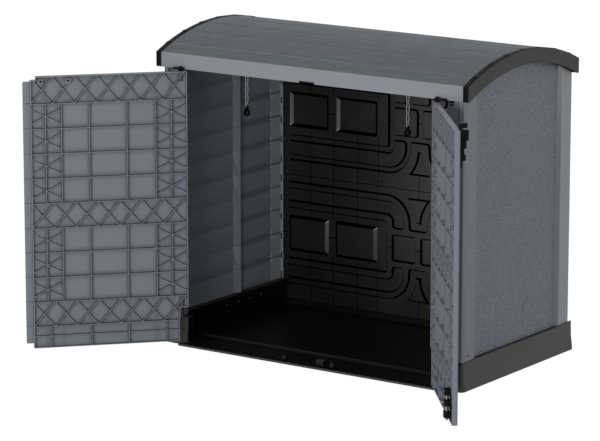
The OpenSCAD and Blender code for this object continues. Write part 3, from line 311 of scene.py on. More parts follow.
plastics = {
    "wallGrey": {"colour": "#74777b", "roughness": 0.48, "spread": 0.03,
                 "grain": {"axis": "Y", "across": 330.0, "along": 40.0, "bump": 0.6, "dulling": 0.1,
                           "tones": ("#414654", "#585c62", "#6b6e72"),
                           "where": (limits(outwards, 0.6845, 0.6862),)},
                 # painted highlight: the outside grooves' bottoms a lighter grey than the plain plastic, as
                 # light lines along the planks
                 "layers": [layer("#80848a", limits(outwards, 0.6825, 0.6845)),
                            layer("#606266", limits(outwards, 0.6885, None, 0.0005)),
                            # painted light: the rear post and the wall's rear end a lighter grey, for light
                            # falling on the rounded corner from the back and right
                            layer("#75787c", limits(backwards, 0.2990, None, 0.0015)),
                            layer("#7d8084", *insidePlanks),
                            # painted shade: darker bands at each plank line inside, where the plank above
                            # overhangs the one below
                            layer("#64676b", near(upwards, 0.026, plankHeights), *insidePlanks),
                            # painted light: the pilaster inside a lighter grey, for its flank that turns
                            # towards the light
                            layer("#86898e", *insidePilaster),
                            # painted light: the rear strip inside a lighter grey where it faces forward into
                            # the light, with painted shade bands at the plank lines
                            layer("#97999e", *insideRear),
                            layer("#66696c", near(upwards, 0.009, plankHeights), *insideRear)]},
    "lidGrey": {"colour": "#797c81", "roughness": 0.44, "spread": 0.03,
                "grain": {"axis": "X", "across": 240.0, "along": 14.0, "bump": 0.6, "dulling": 0.1,
                          "tones": ("#4d5357", "#595f63", "#656b6f"),
                          "where": (lidTop, limits(lidRadius, 1.0008, None, 0.0002))},
                # painted highlight: the groove bottoms on the lid's top a lighter grey, as light lines
                "layers": [layer("#8a8d92", lidTop, limits(lidRadius, 0.9980, 1.0008, 0.0002)),
                           layer(None, lidTop, limits(lidRadius, 0.9980, None, 0.0002), glossDown=0.75)]},
    "leftDoorGrey": {"colour": "#6e7178", "roughness": 0.5, "spread": 0.04,
                     "layers": [layer(doorOutside, limits(leftDepth, None, -0.0052), besideStrip),
                                layer(doorOutside, limits(leftDepth, None, -0.0085)),
                                # painted shade: darker bands on the inside beside the horizontal and the
                                # upright ribs, where the ribs shade the skin
                                layer("#5f6268", near(upwards, 0.022, plankHeights), leftInside),
                                layer("#63666c", near(leftSpan, 0.020, leftRibs), leftInside),
                                # thin dark lines at the plank heights: dark groove lines on the outside, and
                                # painted shade at the roots of the horizontal ribs inside
                                layer("#46484d", near(upwards, 0.003, plankHeights[:-1]), skinAndRibs),
                                # painted highlight on the rib tips, and painted shade on the rib sides below
                                layer("#7b7e85", limits(leftDepth, 0.0138)),
                                layer("#43454a", limits(leftDepth, -0.0022, 0.0128))]},
    # the right door's grey is a darker, shaded copy of the left door's: painted shade over the whole door,
    # with its ribs and edge painted lighter as a highlight
    "rightDoorGrey": {"colour": "#575a5f", "roughness": 0.5, "spread": 0.04,
                      "layers": [layer("#666971", limits(rightDepth, -0.0022)),
                                 layer(doorOutside, limits(rightDepth, None, -0.0052))]},
    # painted light: the skirts' side faces a lighter grey for the light and sheen from the right
    "skirtTrim": {"colour": "#1b1b1c", "roughness": 0.5, "spread": 0.05,
                  "layers": [layer("#4c4b4a", sideFace)]},
    # the end caps nearly black on top and at their ends, painted shade standing in for a channel that is not
    # built; their side faces keep a grey
    "trimGrey": {"colour": "#080808", "roughness": 0.6, "spread": 0.05, "specular": 0.1,
                 "layers": [layer("#3d3c3b", sideFace)]},
    "blackPlastic": {"colour": "#070707", "roughness": 0.33, "spread": 0.10, "specular": 0.5},
    "trayBlack": {"colour": "#050505", "roughness": 0.4, "spread": 0.10, "specular": 0.16,
                  "layers": [layer("#3c3c3d", limits(upwards, None, 0.0095, 0.0008))]},
    "sillBlack": {"colour": "#08080a", "roughness": 0.5, "spread": 0.10, "specular": 0.2,
                  # painted highlight: the tops of the door stops and the keeper a lighter grey
                  "layers": [layer("#3c3d3f", limits(upwards, 0.0312))]},
    "backBlack": {"colour": "#070707", "roughness": 0.34, "spread": 0.08, "specular": 0.55,
                  # painted shade: the steep faces of the pattern nearly black and without gloss
                  "layers": [layer("#010101", {"slopeLimit": 0.93, "wallLimit": 0.76, "soft": 0.04,
                                               "facingRight": 0.35, "facingSoft": 0.05,
                                               "within": 0.633, "withinSoft": 0.001}, glossDown=1.0),
                             layer("#000000", limits(upwards, 0.5604, 0.5628, 0.0004), glossDown=1.0),
                             layer("#000000", {"middles": (0.8366, 0.314), "soft": 0.0004, "lines": [
                                 (0.1987, 0.2013, 0.076, None), (0.2977, 0.3003, 0.076, None),
                                 (0.4187, 0.4213, 0.076, None), (0.5307, 0.5333, 0.076, None),
                                 (None, 0.0013, 0.214, None), (0.405, 0.445, None, 0.0013),
                                 (0.123, 0.153, None, 0.0013), (None, 0.015, None, 0.0013),
                                 (0.638, 0.672, None, 0.0013)]}, glossDown=1.0)]},
    "blackHardware": {"colour": "#141517", "roughness": 0.4, "spread": 0.08, "specular": 0.4},
    "bracketBlack": {"colour": "#050506", "roughness": 0.5, "spread": 0.10, "specular": 0.1},
    "hookBlack": {"colour": "#010101", "roughness": 0.6, "spread": 0.08, "specular": 0.04},
}
mats = {name: mouldedPlastic(name, settings) for name, settings in plastics.items()}
mats["zincSteel"] = zincSteel("zincSteel", (0.42, 0.43, 0.45), (0.66, 0.67, 0.68))
mats["chainSteel"] = zincSteel("chainSteel", (0.16, 0.16, 0.17), (0.34, 0.34, 0.35))
slotMaterials = {"wall_grey": "wallGrey", "lid_grey": "lidGrey", "door_grey": "leftDoorGrey",
                 "trim_grey": "trimGrey", "black_plastic": "blackPlastic", "black_hardware": "blackHardware",
                 "zinc_steel": "zincSteel"}
ownMaterials = {
    "trayBlack": ("floor_tray",), "sillBlack": ("door_stops", "bolt_keeper"),
    "skirtTrim": ("skirt_left", "skirt_right"),
    "bracketBlack": ("door_pins_left", "door_pins_right", "top_bracket_left", "top_bracket_right",
                     "catch_plate", "catch_screws", "latch_base", "latch_lever", "latch_screws",
                     "bolt_housing"),
    "chainSteel": ("chain_left", "chain_right", "slide_bolt"),
    "hookBlack": ("snap_hook_left", "snap_hook_right"),
}
ownOf = {node: material for material, members in ownMaterials.items() for node in members}
for name, slot in slotOf.items():
    nodes[name].data.materials.clear()
    nodes[name].data.materials.append(mats[ownOf.get(name, slotMaterials[slot])])
print("materials done")


# A moulding with its edges eased: the CAD mesh merged, its flat faces joined, and a narrow Bevel on the rest
easing = {
    "merge": 1e-5, "flat": math.radians(0.6), "sharp": math.radians(28), "segments": 2,
    "widths": {
        "side_wall_left": 0.0010, "side_wall_right": 0.0010, "skirt_left": 0.0012, "skirt_right": 0.0012,
        "lid_shell": 0.0008, "lid_cap_left": 0.0010, "lid_cap_right": 0.0010, "floor_tray": 0.0010,
        "low_bracket_left": 0.0010, "low_bracket_right": 0.0010, "bolt_housing": 0.0008,
        "catch_plate": 0.0008, "snap_hook_left": 0.0009, "snap_hook_right": 0.0009, "door_stops": 0.0010,
        "bolt_keeper": 0.0008, "rear_rail": 0.0010,
    },
}


def easedCopy(nodeName, width):
    mesh = nodes[nodeName].data.copy()
    mesh.name = nodeName + "Eased"
    work = bmesh.new()
    work.from_mesh(mesh)
    bmesh.ops.remove_doubles(work, verts=work.verts, dist=easing["merge"])
    bmesh.ops.dissolve_limit(work, angle_limit=easing["flat"], verts=work.verts, edges=work.edges)
    work.to_mesh(mesh)
    work.free()
    mesh.polygons.foreach_set("use_smooth", np.ones(len(mesh.polygons), dtype=bool))
    mesh.set_sharp_from_angle(angle=easing["sharp"])
    piece = bpy.data.objects.new(nodeName + "Eased", mesh)
    scene.collection.objects.link(piece)
    bevel = piece.modifiers.new("easedEdge", "BEVEL")
    bevel.width = width
    bevel.segments = easing["segments"]
    bevel.limit_method = "ANGLE"
    bevel.angle_limit = easing["sharp"]
    bevel.use_clamp_overlap = False
    bevel.harden_normals = True
    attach(piece, bodyOf[nodeName])
    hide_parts(nodeName)


for name, width in easing["widths"].items():
    easedCopy(name, width)
print("eased mouldings done,", len(easing["widths"]))


# Surfaces from arrays. Shapes are worked out in millimetres and turned to metres at the end.
def joined(parts):  # several (vertices, faces) lists as one mesh
    verts, faces, start = [], [], 0
    for partVerts, partFaces in parts:
        verts.append(np.asarray(partVerts, dtype=float).reshape(-1, 3))
        faces += [[start + corner for corner in face] for face in partFaces]
        start += len(verts[-1])
    return np.concatenate(verts), faces


def meshPiece(name, shape, material, body, replaced, slotName, sharp=32.0, welded=False):
    mesh = bpy.data.meshes.new(name)
    mesh.from_pydata((shape[0] / 1000).tolist(), [], shape[1])
    work = bmesh.new()
    work.from_mesh(mesh)
    if welded:
        bmesh.ops.remove_doubles(work, verts=work.verts, dist=2e-6)
    bmesh.ops.recalc_face_normals(work, faces=work.faces)
    work.to_mesh(mesh)
    work.free()
    mesh.polygons.foreach_set("use_smooth", np.ones(len(mesh.polygons), dtype=bool))
    mesh.set_sharp_from_angle(angle=math.radians(sharp))
    mesh.materials.append(mats[material])
    piece = bpy.data.objects.new(name, mesh)
    scene.collection.objects.link(piece)
    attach(piece, body)
    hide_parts(*replaced)


def ofNode(nodeName):  # what a piece says that stands for one node
    return bodyOf[nodeName], [nodeName], slotOf[nodeName]


def gridFaces(rows, columns):
    index = np.arange(rows * columns).reshape(rows, columns)
    corners = [index[:-1, :-1], index[:-1, 1:], index[1:, 1:], index[1:, :-1]]
    return np.stack(corners, -1).reshape(-1, 4), index


def ringFaces(rows, columns):  # between closed lines that follow one another
    index = np.arange(rows * columns).reshape(rows, columns)
    after = np.roll(index, -1, 1)
    return np.stack([index[:-1], after[:-1], after[1:], index[1:]], -1).reshape(-1, 4).tolist(), index


def wrappedFaces(rows, columns):  # of a grid that is closed in both directions
    index = np.arange(rows * columns).reshape(rows, columns)
    ahead, beside = np.roll(index, -1, 0), np.roll(index, -1, 1)
    return np.stack([index, ahead, np.roll(ahead, -1, 1), beside], -1).reshape(-1, 4).tolist()


def atDepth(flat, depth):  # points (across, up) with their depth
    return np.stack([flat[..., 0], np.broadcast_to(depth, flat.shape[:-1]), flat[..., 1]], -1)


def lofted(rings):  # closed lines with as many points each, joined one after another
    return rings.reshape(-1, 3), ringFaces(*rings.shape[:2])[0]


# A closed skin between two equal grids: the two faces, and a band round their common edge
def slab(front, back):
    rows, columns = front.shape[:2]
    faces, index = gridFaces(rows, columns)
    count = rows * columns
    rim = np.concatenate([index[0, :-1], index[:-1, -1], index[-1, :0:-1], index[:0:-1, 0]])
    after = np.roll(rim, -1)
    band = np.stack([rim, rim + count, after + count, after], -1)
    allFaces = np.concatenate([faces, faces[:, ::-1] + count, band])
    return np.concatenate([front.reshape(-1, 3), back.reshape(-1, 3)]), allFaces.tolist()


# Inward mitre of a closed outline: the unit normals of both neighbouring sides, added and scaled so that
# each side moves in by one
def mitres(outline):
    along = np.roll(outline, -1, 0) - outline
    along /= np.linalg.norm(along, axis=1, keepdims=True)
    inward = np.stack([-along[:, 1], along[:, 0]], -1)
    if np.sum(outline[:, 0] * np.roll(outline[:, 1], -1) - np.roll(outline[:, 0], -1) * outline[:, 1]) < 0:
        inward = -inward
    before = np.roll(inward, 1, 0)
    return (inward + before) / (1 + np.sum(inward * before, 1))[:, None]


# A closed outline carried through rings: each ring is (how far in from the outline, depth). Ends are flat
def easedPrism(outline, rings):
    rings = np.asarray(rings, dtype=float)
    flat = outline[None] + rings[:, None, :1] * mitres(outline)[None]
    sides, index = ringFaces(len(rings), len(outline))
    return atDepth(flat, rings[:, 1:]).reshape(-1, 3), sides + [index[0].tolist(), index[-1][::-1].tolist()]


# A closed profile (how far in, depth) carried round a closed outline
def roundTheEdge(outline, profile):
    profile = np.asarray(profile, dtype=float)
    flat = outline[:, None] + profile[None, :, :1] * mitres(outline)[:, None]
    return atDepth(flat, profile[:, 1]).reshape(-1, 3), wrappedFaces(len(outline), len(profile))


# A closed profile (across, depth) carried along many straight lines at once, with flat ends
def alongLines(lines, profile):
    lines, profile = np.asarray(lines, dtype=float), np.asarray(profile, dtype=float)
    along = lines[:, 1] - lines[:, 0]
    along /= np.linalg.norm(along, axis=1, keepdims=True)
    across = np.stack([-along[:, 1], along[:, 0]], -1)
    flat = lines[:, :, None] + across[:, None, None] * profile[None, None, :, :1]
    verts = atDepth(flat, profile[:, 1])
    index = np.arange(verts[..., 0].size).reshape(verts.shape[:3])
    beside = np.roll(index, -1, 2)
    sides = np.stack([index[:, 0], beside[:, 0], beside[:, 1], index[:, 1]], -1).reshape(-1, 4).tolist()
    return verts.reshape(-1, 3), sides + index[:, 0, ::-1].tolist() + index[:, 1].tolist()


# A closed profile (radius, height) turned round the upright axis
def turned(profile, steps=40):
    profile = np.asarray(profile, dtype=float)
    angle = np.linspace(0, 2 * np.pi, steps, endpoint=False)
    radius, height = profile[None, :, 0], np.broadcast_to(profile[None, :, 1], (steps, len(profile)))
    verts = np.stack([radius * np.cos(angle)[:, None], radius * np.sin(angle)[:, None], height], -1)
    return verts.reshape(-1, 3), wrappedFaces(steps, len(profile))


def easedRing(bore, radius, low, high, ease):  # round the upright axis
    return turned([(bore, low), (radius - ease, low), (radius, low + ease), (radius, high - ease),
                   (radius - ease, high), (bore, high)])


def roundedOutline(left, right, low, high, radius, steps=5):  # a rectangle with round corners
    turn = np.linspace(0, np.pi / 2, steps)
    corners = [(right - radius, high - radius, 0), (left + radius, high - radius, 1),
               (left + radius, low + radius, 2), (right - radius, low + radius, 3)]
    return np.concatenate([np.stack([x + radius * np.cos(turn + k * np.pi / 2),
                                     z + radius * np.sin(turn + k * np.pi / 2)], -1) for x, z, k in corners])


# Whether points lie inside closed lines, by an odd number of their sides to the right of the point
def insideSides(points, start, end):
    x, y = points[:, None, 0], points[:, None, 1]
    crossing = (start[:, 1] > y) != (end[:, 1] > y)
    with np.errstate(divide="ignore", invalid="ignore"):
        reach = start[:, 0] + (y - start[:, 1]) * (end[:, 0] - start[:, 0]) / (end[:, 1] - start[:, 1])
    return np.sum(crossing & (x < reach), axis=1) % 2 == 1


# Only the parts of the lines that lie inside an outline are kept: each line is cut where it meets a side
def insideOnly(lines, outline, shortest=4):
    sideStart, sideEnd = outline, np.roll(outline, -1, 0)
    side = sideEnd - sideStart
    kept = []
    for start, end in lines:
        along = end - start
        cross = along[0] * side[:, 1] - along[1] * side[:, 0]
        safe = np.where(np.abs(cross) < 1e-9, np.nan, cross)
        gap = sideStart - start
        t = (gap[:, 0] * side[:, 1] - gap[:, 1] * side[:, 0]) / safe
        u = (gap[:, 0] * along[1] - gap[:, 1] * along[0]) / safe
        cuts = np.unique(np.concatenate([[0.0, 1.0], t[(t > 0) & (t < 1) & (u >= 0) & (u <= 1)]]))
        for a, b in zip(cuts[:-1], cuts[1:]):
            middle = start + along * (a + b) / 2
            inside = insideSides(middle[None], sideStart, sideEnd)[0]
            if inside and (b - a) * np.linalg.norm(along) > shortest:
                kept.append((start + along * a, start + along * b))
    return np.array(kept)


# The doors: a grooved skin, an edge wall, drafted ribs with round tips and root fillets, and hinge bosses.
# s runs from the hinge line to the free edge, z is the height, and y is the depth with the ribs towards +y.
# Strips: low and high s from the free edge, low z from the foot, high z from the top, corner
doorSettings = {
    "hingeX": 596.0, "hingeY": -431.0, "leftOpen": 133.0, "rightOpen": 130.0,
    "hingeEdge": -24.0, "freeEdge": 594.5, "foot": 25.0, "top": 1111.0,
    "outer": -6.0, "inner": 14.5, "skin": 3.0,
    "firstPlank": 111.0, "plank": 99.0, "planks": 11,
    "grooveWidth": 3.0, "grooveDepth": 1.0, "grooveSlope": 0.5,
    "columnNotch": (12.0, 118.0), "hingeNotch": (8.5, 162.0), "topStep": 14.0, "stepWidth": 21.0,
    "skinRows": 24, "skinColumns": 30, "skinInset": 0.5, "edgeGap": 0.2, "ribInset": 1.5,
    "crosses": 7, "crossBands": ((0, 1), (4, 5), (9, 10)), "crossStart": 11.0, "crossSpare": 9.0,
    "sideColumn": 124.94, "columnShift": 5.0, "starRows": (1, 2, 3, 5, 6, 7, 8), "starLean": 0.3,
    "starSpare": 3.0,
    "innerPosts": (0.387, 0.628), "postBands": ((1, 4), (5, 9)), "lowRow": 0.55, "lowPosts": (88.0, 70.0),
    "bossBore": 4.05, "bossRadius": 9.0, "bossEase": 0.6, "topBoss": 40.0, "lowBoss": 38.0,
    "strip": (-14.0, 28.0, 16.0, -21.0, 7.0), "stripRoot": (-13.0, -0.2, 18.0, -23.0, 4.0),
    "pads": (148.0, 40.0), "padHalf": 10.5, "padDown": 20.0, "padRound": 2.5,
}


def doorRibLines(d):
    edge, free, column, foot = d["hingeEdge"], d["freeEdge"], d["sideColumn"], d["foot"]
    plankZ = d["firstPlank"] + d["plank"] * np.arange(d["planks"])
    lines = []
    pitch = (free - edge - d["crossSpare"]) / d["crosses"]
    for low, high in d["crossBands"]:
        z0, z1 = plankZ[low], d["top"] if high == d["planks"] - 1 else plankZ[high]
        for s0 in edge + d["crossStart"] + pitch * np.arange(d["crosses"]):
            lines += [((s0, z0), (s0 + pitch, z1)), ((s0, z1), (s0 + pitch, z0))]
    halfCell, lean = column / 2 - d["starSpare"], d["starLean"] * d["plank"]
    columns = (edge + column / 2, free + d["columnShift"] - column / 2)
    for middle in columns:
        for centre in plankZ[list(d["starRows"])] + d["plank"] / 2:
            for rise in (lean, -lean):
                lines.append(((middle - halfCell, centre + rise), (middle + halfCell, centre - rise)))
    inner = [edge + (free - edge) * share for share in d["innerPosts"]]
    uprights = (*columns, edge + column, *inner, free + d["columnShift"] - column)
    for low, high in d["postBands"]:
        lines += [((s, plankZ[low]), (s, plankZ[high])) for s in uprights]
    lines += [((edge + 1, z), (free - 1, z)) for z in plankZ[:-1]]
    lowRow = foot + (plankZ[0] - foot) * d["lowRow"]
    lines.append(((d["columnNotch"][0], lowRow), (free - 1, lowRow)))
    first, last = d["lowPosts"]
    lines += [((s, foot + 1), (s, plankZ[0])) for s in (edge + first, *inner, free - last)]
    return np.array(lines, dtype=float)


def doorShape(d, overlapping):
    outer, inner, skinIn = d["outer"], d["inner"], d["outer"] + d["skin"]
    step = d["topStep"] if overlapping else 0.0
    (columnS, columnZ), (notchS, notchZ) = d["columnNotch"], d["hingeNotch"]
    edge, free, foot, top = d["hingeEdge"], d["freeEdge"], d["foot"], d["top"]
    stepS, stepZ = free - d["stepWidth"], top - step
    corner = [(free, stepZ), (stepS, stepZ), (stepS, top)] if step else [(free, top)]
    outline = np.array([(columnS, foot), (free, foot), *corner, (edge, top), (edge, notchZ), (notchS, notchZ),
                        (notchS, columnZ), (columnS, columnZ)], dtype=float)

    # the skin: rows up the door, with a soft-edged groove at each plank line on the outside
    halfGroove, slope, inset = d["grooveWidth"] / 2, d["grooveSlope"], d["skinInset"]
    lines = d["firstPlank"] + d["plank"] * np.arange(d["planks"] - 1)
    grooveRows = [lines + side * halfGroove + edgeSlope for side in (-1, 1) for edgeSlope in (-slope, slope)]
    turns = (columnZ, notchZ, stepZ) if step else (columnZ, notchZ)
    steps = [turn + gap for turn in turns for gap in (-d["edgeGap"], d["edgeGap"])]
    z = np.unique(np.concatenate([*grooveRows, steps, np.linspace(foot + inset, top - inset, d["skinRows"])]))
    low = np.where(z < columnZ, columnS, np.where(z < notchZ, notchS, edge)) + inset
    high = np.where((z > stepZ) & (step > 0), stepS, free) - inset
    s = low[:, None] + (high - low)[:, None] * np.linspace(0, 1, d["skinColumns"])
    nearest = np.min(np.abs(z[:, None] - lines[None]), axis=1)
    sunk = np.clip((halfGroove + slope - nearest) / (2 * slope), 0, 1) * d["grooveDepth"]
    rows = np.stack([s, np.broadcast_to(z[:, None], s.shape)], -1)

    wall = [(0, outer + 0.8), (0.9, outer + 0.1), (3.0, outer + 0.4), (3.0, inner - 0.7), (2.4, inner),
            (0.6, inner), (0, inner - 0.7)]
    rib = [(-1.9, skinIn - 0.3), (-1.4, skinIn + 0.8), (-1.15, inner - 0.6), (-0.7, inner - 0.1),
           (0.7, inner - 0.1), (1.15, inner - 0.6), (1.4, skinIn + 0.8), (1.9, skinIn - 0.3)]
    ribLines = insideOnly(doorRibLines(d), outline + mitres(outline) * d["ribInset"])
    parts = [slab(atDepth(rows, (outer + sunk)[:, None]), atDepth(rows, skinIn)), roundTheEdge(outline, wall),
             alongLines(ribLines, rib)]
    for z0, z1 in ((top - d["topBoss"], top), (notchZ, notchZ + d["lowBoss"])):
        parts.append(easedRing(d["bossBore"], d["bossRadius"], z0, z1, d["bossEase"]))
    if overlapping:
        stripRings = [(0.6, outer - 3.4), (0, outer - 2.8), (0, outer - 1.0), (0.6, outer - 0.4)]
        rootRings = [(0, outer - 0.6), (0, outer + 0.6)]
        for (s0, s1, z0, z1, radius), rings in ((d["strip"], stripRings), (d["stripRoot"], rootRings)):
            parts.append(easedPrism(roundedOutline(free + s0, free + s1, foot + z0, top + z1, radius), rings))
        half, middle = d["padHalf"], top - d["padDown"]
        for s0 in [free - back for back in d["pads"]]:
            pad = roundedOutline(s0 - half, s0 + half, middle - half, middle + half, d["padRound"])
            parts.append(easedPrism(pad, [(0, outer + 1), (0, inner - 1.6), (0.6, inner - 1.0)]))
    return joined(parts)


def hung(shape, side, d):  # turns a door about its hinge line, into the pose of the photograph
    verts = shape[0].copy()
    turn = math.radians(-d["leftOpen"] if side < 0 else d["rightOpen"])
    x = verts[:, 0] * (1 if side < 0 else -1)
    y = verts[:, 1].copy()
    verts[:, 0] = side * d["hingeX"] + x * math.cos(turn) - y * math.sin(turn)
    verts[:, 1] = d["hingeY"] + x * math.sin(turn) + y * math.cos(turn)
    return verts, shape[1]


for side, name, overlapping in ((-1, "left", True), (1, "right", False)):
    shape = hung(doorShape(doorSettings, overlapping), side, doorSettings)
    meshPiece(name + "Door", shape, name + "DoorGrey", *ofNode("door_" + name))
print("doors done")


# The back: two halves of one embossed sheet. Its plan is drawn as u across and v up about the middle of a
# half, with the depth of the sunk parts counted from the face that they are sunk into.
# Lug boxes: low x, high x, low y, low z, high z, ease, from a lug's middle, the front and the lap's foot
backSettings = {
    "fieldU": 153.0, "fieldV": 106.0, "rings": (31.0, 83.0, 111.0), "laneEnd": 640.0,
    "fingerLow": 82.0, "fingerRound": 9.0, "laneTrim": 0.5,
    "trays": ((205.0, 405.0), (445.0, 638.0)), "trayV": 74.0, "traySlope": 13.0, "trayRound": 10.0,
    "trayTightening": 0.6,
    "bellWaist": 10.0, "bellFlare": 41.0, "bellFoot": 114.0, "bellTall": 99.0,
    "island": (15.0, 123.0), "islandV": 53.0, "islandRound": 9.0,
    "halfWidth": 672.0, "halfHeight": 275.0, "lap": 27.4,
    "sheet": 4.0, "deep": 8.0, "slope": 6.5, "skin": 2.5,
    "upperMiddle": 836.6, "lowerMiddle": 314.0, "front": 380.0,
    "footHalf": 649.0, "foot": 12.0, "shoulder": 113.0,
    "lugs": (-603.0, -206.0, 206.0, 603.0), "lugRoot": 1.0, "lugRound": 1.5,
    "lugBoxes": ((-30.0, 30.0, -1.6, 10.0, 18.0, 1.0), (2.0, 30.0, -2.0, 8.0, 20.0, 1.2)), "sharp": 20.0,
}


def arcPoints(centre, radius, start, end, steps):
    turn = np.radians(np.linspace(start, end, steps))
    return np.stack([centre[0] + radius * np.cos(turn), centre[1] + radius * np.sin(turn)], -1)


def fieldOutline(b):  # the field with its eight lanes, as one closed line; a quarter of it is mirrored twice
    u, v = b["fieldU"], b["fieldV"]
    (near, middle, far), low, r = b["rings"], b["fingerLow"], b["fingerRound"]
    end, trim = b["laneEnd"], b["laneTrim"]
    inner, outer = u - near - trim, u - middle + trim
    quarter = np.concatenate([
        [[u, 0.0]], arcPoints((u + r, v - r), r, 180, 90, 9), [[end, v], [end, v + near]],
        arcPoints((u, v), near, 90, 180, 11), arcPoints((inner - r, low + r), r, 0, -90, 9),
        arcPoints((outer + r, low + r), r, 270, 180, 9), arcPoints((u, v), middle, 180, 90, 19),
        [[end, v + middle], [end, v + far]], arcPoints((u, v), far, 90, 180, 23),
        arcPoints((u - far - trim - r, low + r), r, 0, -90, 9)])
    half = np.concatenate([quarter, quarter[::-1] * [-1, 1]])
    return np.concatenate([half, half[-2:0:-1] * [1, -1]])


def bellOutline(b, side):  # a bell whose half width grows with the square of the height
    f = np.linspace(0, 1, 13)
    u, v = b["bellWaist"] + b["bellFlare"] * f ** 2, b["bellFoot"] + b["bellTall"] * f
    flank = np.stack([u, side * v], -1)
    return np.concatenate([flank, flank[::-1] * [-1, 1]])


# The flat region inside an odd number of the closed lines: a constrained triangulation whose triangles are
# kept when their middle lies inside
def flatRegion(loops, depth):
    points = np.concatenate(loops)
    sizes = np.array([len(loop) for loop in loops])
    first = np.repeat(np.cumsum(sizes) - sizes, sizes)
    place = np.arange(len(points)) - first
    following = first + (place + 1) % np.repeat(sizes, sizes)
    edges = np.stack([np.arange(len(points)), following], -1)
    flat, _, triangles, *_ = delaunay_2d_cdt(points.tolist(), edges.tolist(), [], 0, 1e-7)
    flat, triangles = np.array([tuple(p) for p in flat]), np.array(triangles)
    inside = insideSides(flat[triangles].mean(axis=1), points, points[following])
    return atDepth(flat, depth), triangles[inside].tolist()


# One face of the sheet. Grown is how far its lines stand outside the drawn ones, level the land's depth
def embossedFace(b, edge, grown, level):
    shares = np.array([0.0, 1.0])  # of the way down from the land
    depths = level + b["deep"] * shares
    parts, landLoops, floorLoops = [], [edge], []
    near, far = b["island"]
    sunkLines = [(fieldOutline(b), 1.0), (bellOutline(b, 1), 1.0), (bellOutline(b, -1), 1.0)]
    for u0, u1 in ((near, far), (-far, -near)):
        sunkLines.append((roundedOutline(u0, u1, -b["islandV"], b["islandV"], b["islandRound"], 9), -1.0))
    pairs = [outline + (way * (b["slope"] * shares - grown))[:, None, None] * mitres(outline)
             for outline, way in sunkLines]
    for side in (-1, 1):
        for inner, outer in b["trays"]:
            rings = []
            for share in shares:
                move = b["traySlope"] * share - grown
                low, high = sorted((side * (inner + move), side * (outer - move)))
                radius = b["trayRound"] * (1 - b["trayTightening"] * share)
                rings.append(roundedOutline(low, high, -b["trayV"] + move, b["trayV"] - move, radius, 9))
            pairs.append(np.array(rings))
    for pair in pairs:
        parts.append(lofted(atDepth(pair, depths[:, None])))
        landLoops.append(pair[0])
        floorLoops.append(pair[1])
    return parts + [flatRegion(landLoops, depths[0]), flatRegion(floorLoops, depths[1])]


def embossedSheet(b, edge):
    band = np.stack([atDepth(edge, depth) for depth in (0.0, b["sheet"])])
    front, rear = embossedFace(b, edge, 0.0, 0.0), embossedFace(b, edge, b["skin"], b["sheet"])
    return joined(front + rear + [lofted(band)])


def block(x0, x1, y0, y1, z0, z1, corner, ease=0.8, steps=5):
    rings = [(ease, y0), (0, y0 + ease), (0, y1 - ease), (ease, y1)]
    return easedPrism(roundedOutline(x0, x1, z0, z1, corner, steps), rings)


def rectangle(half, low, high):
    return np.array([(-half, low), (half, low), (half, high), (-half, high)])


def backHalves(b):
    half, tall, lap, front, sheet = b["halfWidth"], b["halfHeight"], b["lap"], b["front"], b["sheet"]
    verts, faces = embossedSheet(b, rectangle(half, lap - tall, tall))
    upper = verts + [0, front, b["upperMiddle"]], faces
    lapLow, lapTop = b["upperMiddle"] - tall, b["lowerMiddle"] + tall
    parts = [upper, easedPrism(rectangle(half, lapLow, lapLow + lap), [(0, front), (0, front + sheet / 2)])]
    for x in b["lugs"]:
        for x0, x1, y0, z0, z1, ease in b["lugBoxes"]:
            parts.append(block(x + x0, x + x1, front + y0, front + b["lugRoot"], lapLow + z0, lapLow + z1,
                               b["lugRound"], ease, 4))
    meshPiece("backUpper", joined(parts), "backBlack", *ofNode("back_panel_upper"), b["sharp"], True)

    foot, shoulder, narrow = b["foot"] - b["lowerMiddle"], b["shoulder"] - b["lowerMiddle"], b["footHalf"]
    lowerEdge = np.array([(-narrow, foot), (narrow, foot), (narrow, shoulder), (half, shoulder),
                          (half, tall - lap), (-half, tall - lap), (-half, shoulder), (-narrow, shoulder)])
    verts, faces = embossedSheet(b, lowerEdge)
    lower = verts * [1, -1, 1] + [0, front + sheet, b["lowerMiddle"]], faces
    strip = easedPrism(rectangle(half, lapTop - lap, lapTop), [(0, front + sheet / 2), (0, front + sheet)])
    meshPiece("backLower", joined([lower, strip]), "backBlack", *ofNode("back_panel_lower"), b["sharp"], True)


backHalves(backSettings)
print("back done")


# Small black fittings made of soft-edged blocks: (low x, high x, low y, high y, low z, high z, corner)
def blocks(rows, origin=(0, 0, 0)):
    x, y, z = origin
    return [block(x + x0, x + x1, y + y0, y + y1, z + z0, z + z1, corner)
            for x0, x1, y0, y1, z0, z1, corner in rows]


# Top hinge bracket: a plate over the pin, an arm to the jamb and a leg down the jamb's edge
bracketSettings = {
    "plate": (585, 632, -441, -410, 1118, 1124, 1.5), "neck": (588, 604, -439, -423, 1111.8, 1118.5, 1.5),
    "arm": (600, 645, -411, -386, 1112.6, 1116.4, 1.2), "leg": (623, 645, -388.2, -385.4, 1093, 1114, 1.2),
}
for side, name in ((-1, "left"), (1, "right")):
    verts, faces = joined(blocks(bracketSettings.values()))
    shape = verts * [side, 1, 1], faces
    meshPiece(name + "TopBracket", shape, "bracketBlack", *ofNode("top_bracket_" + name))

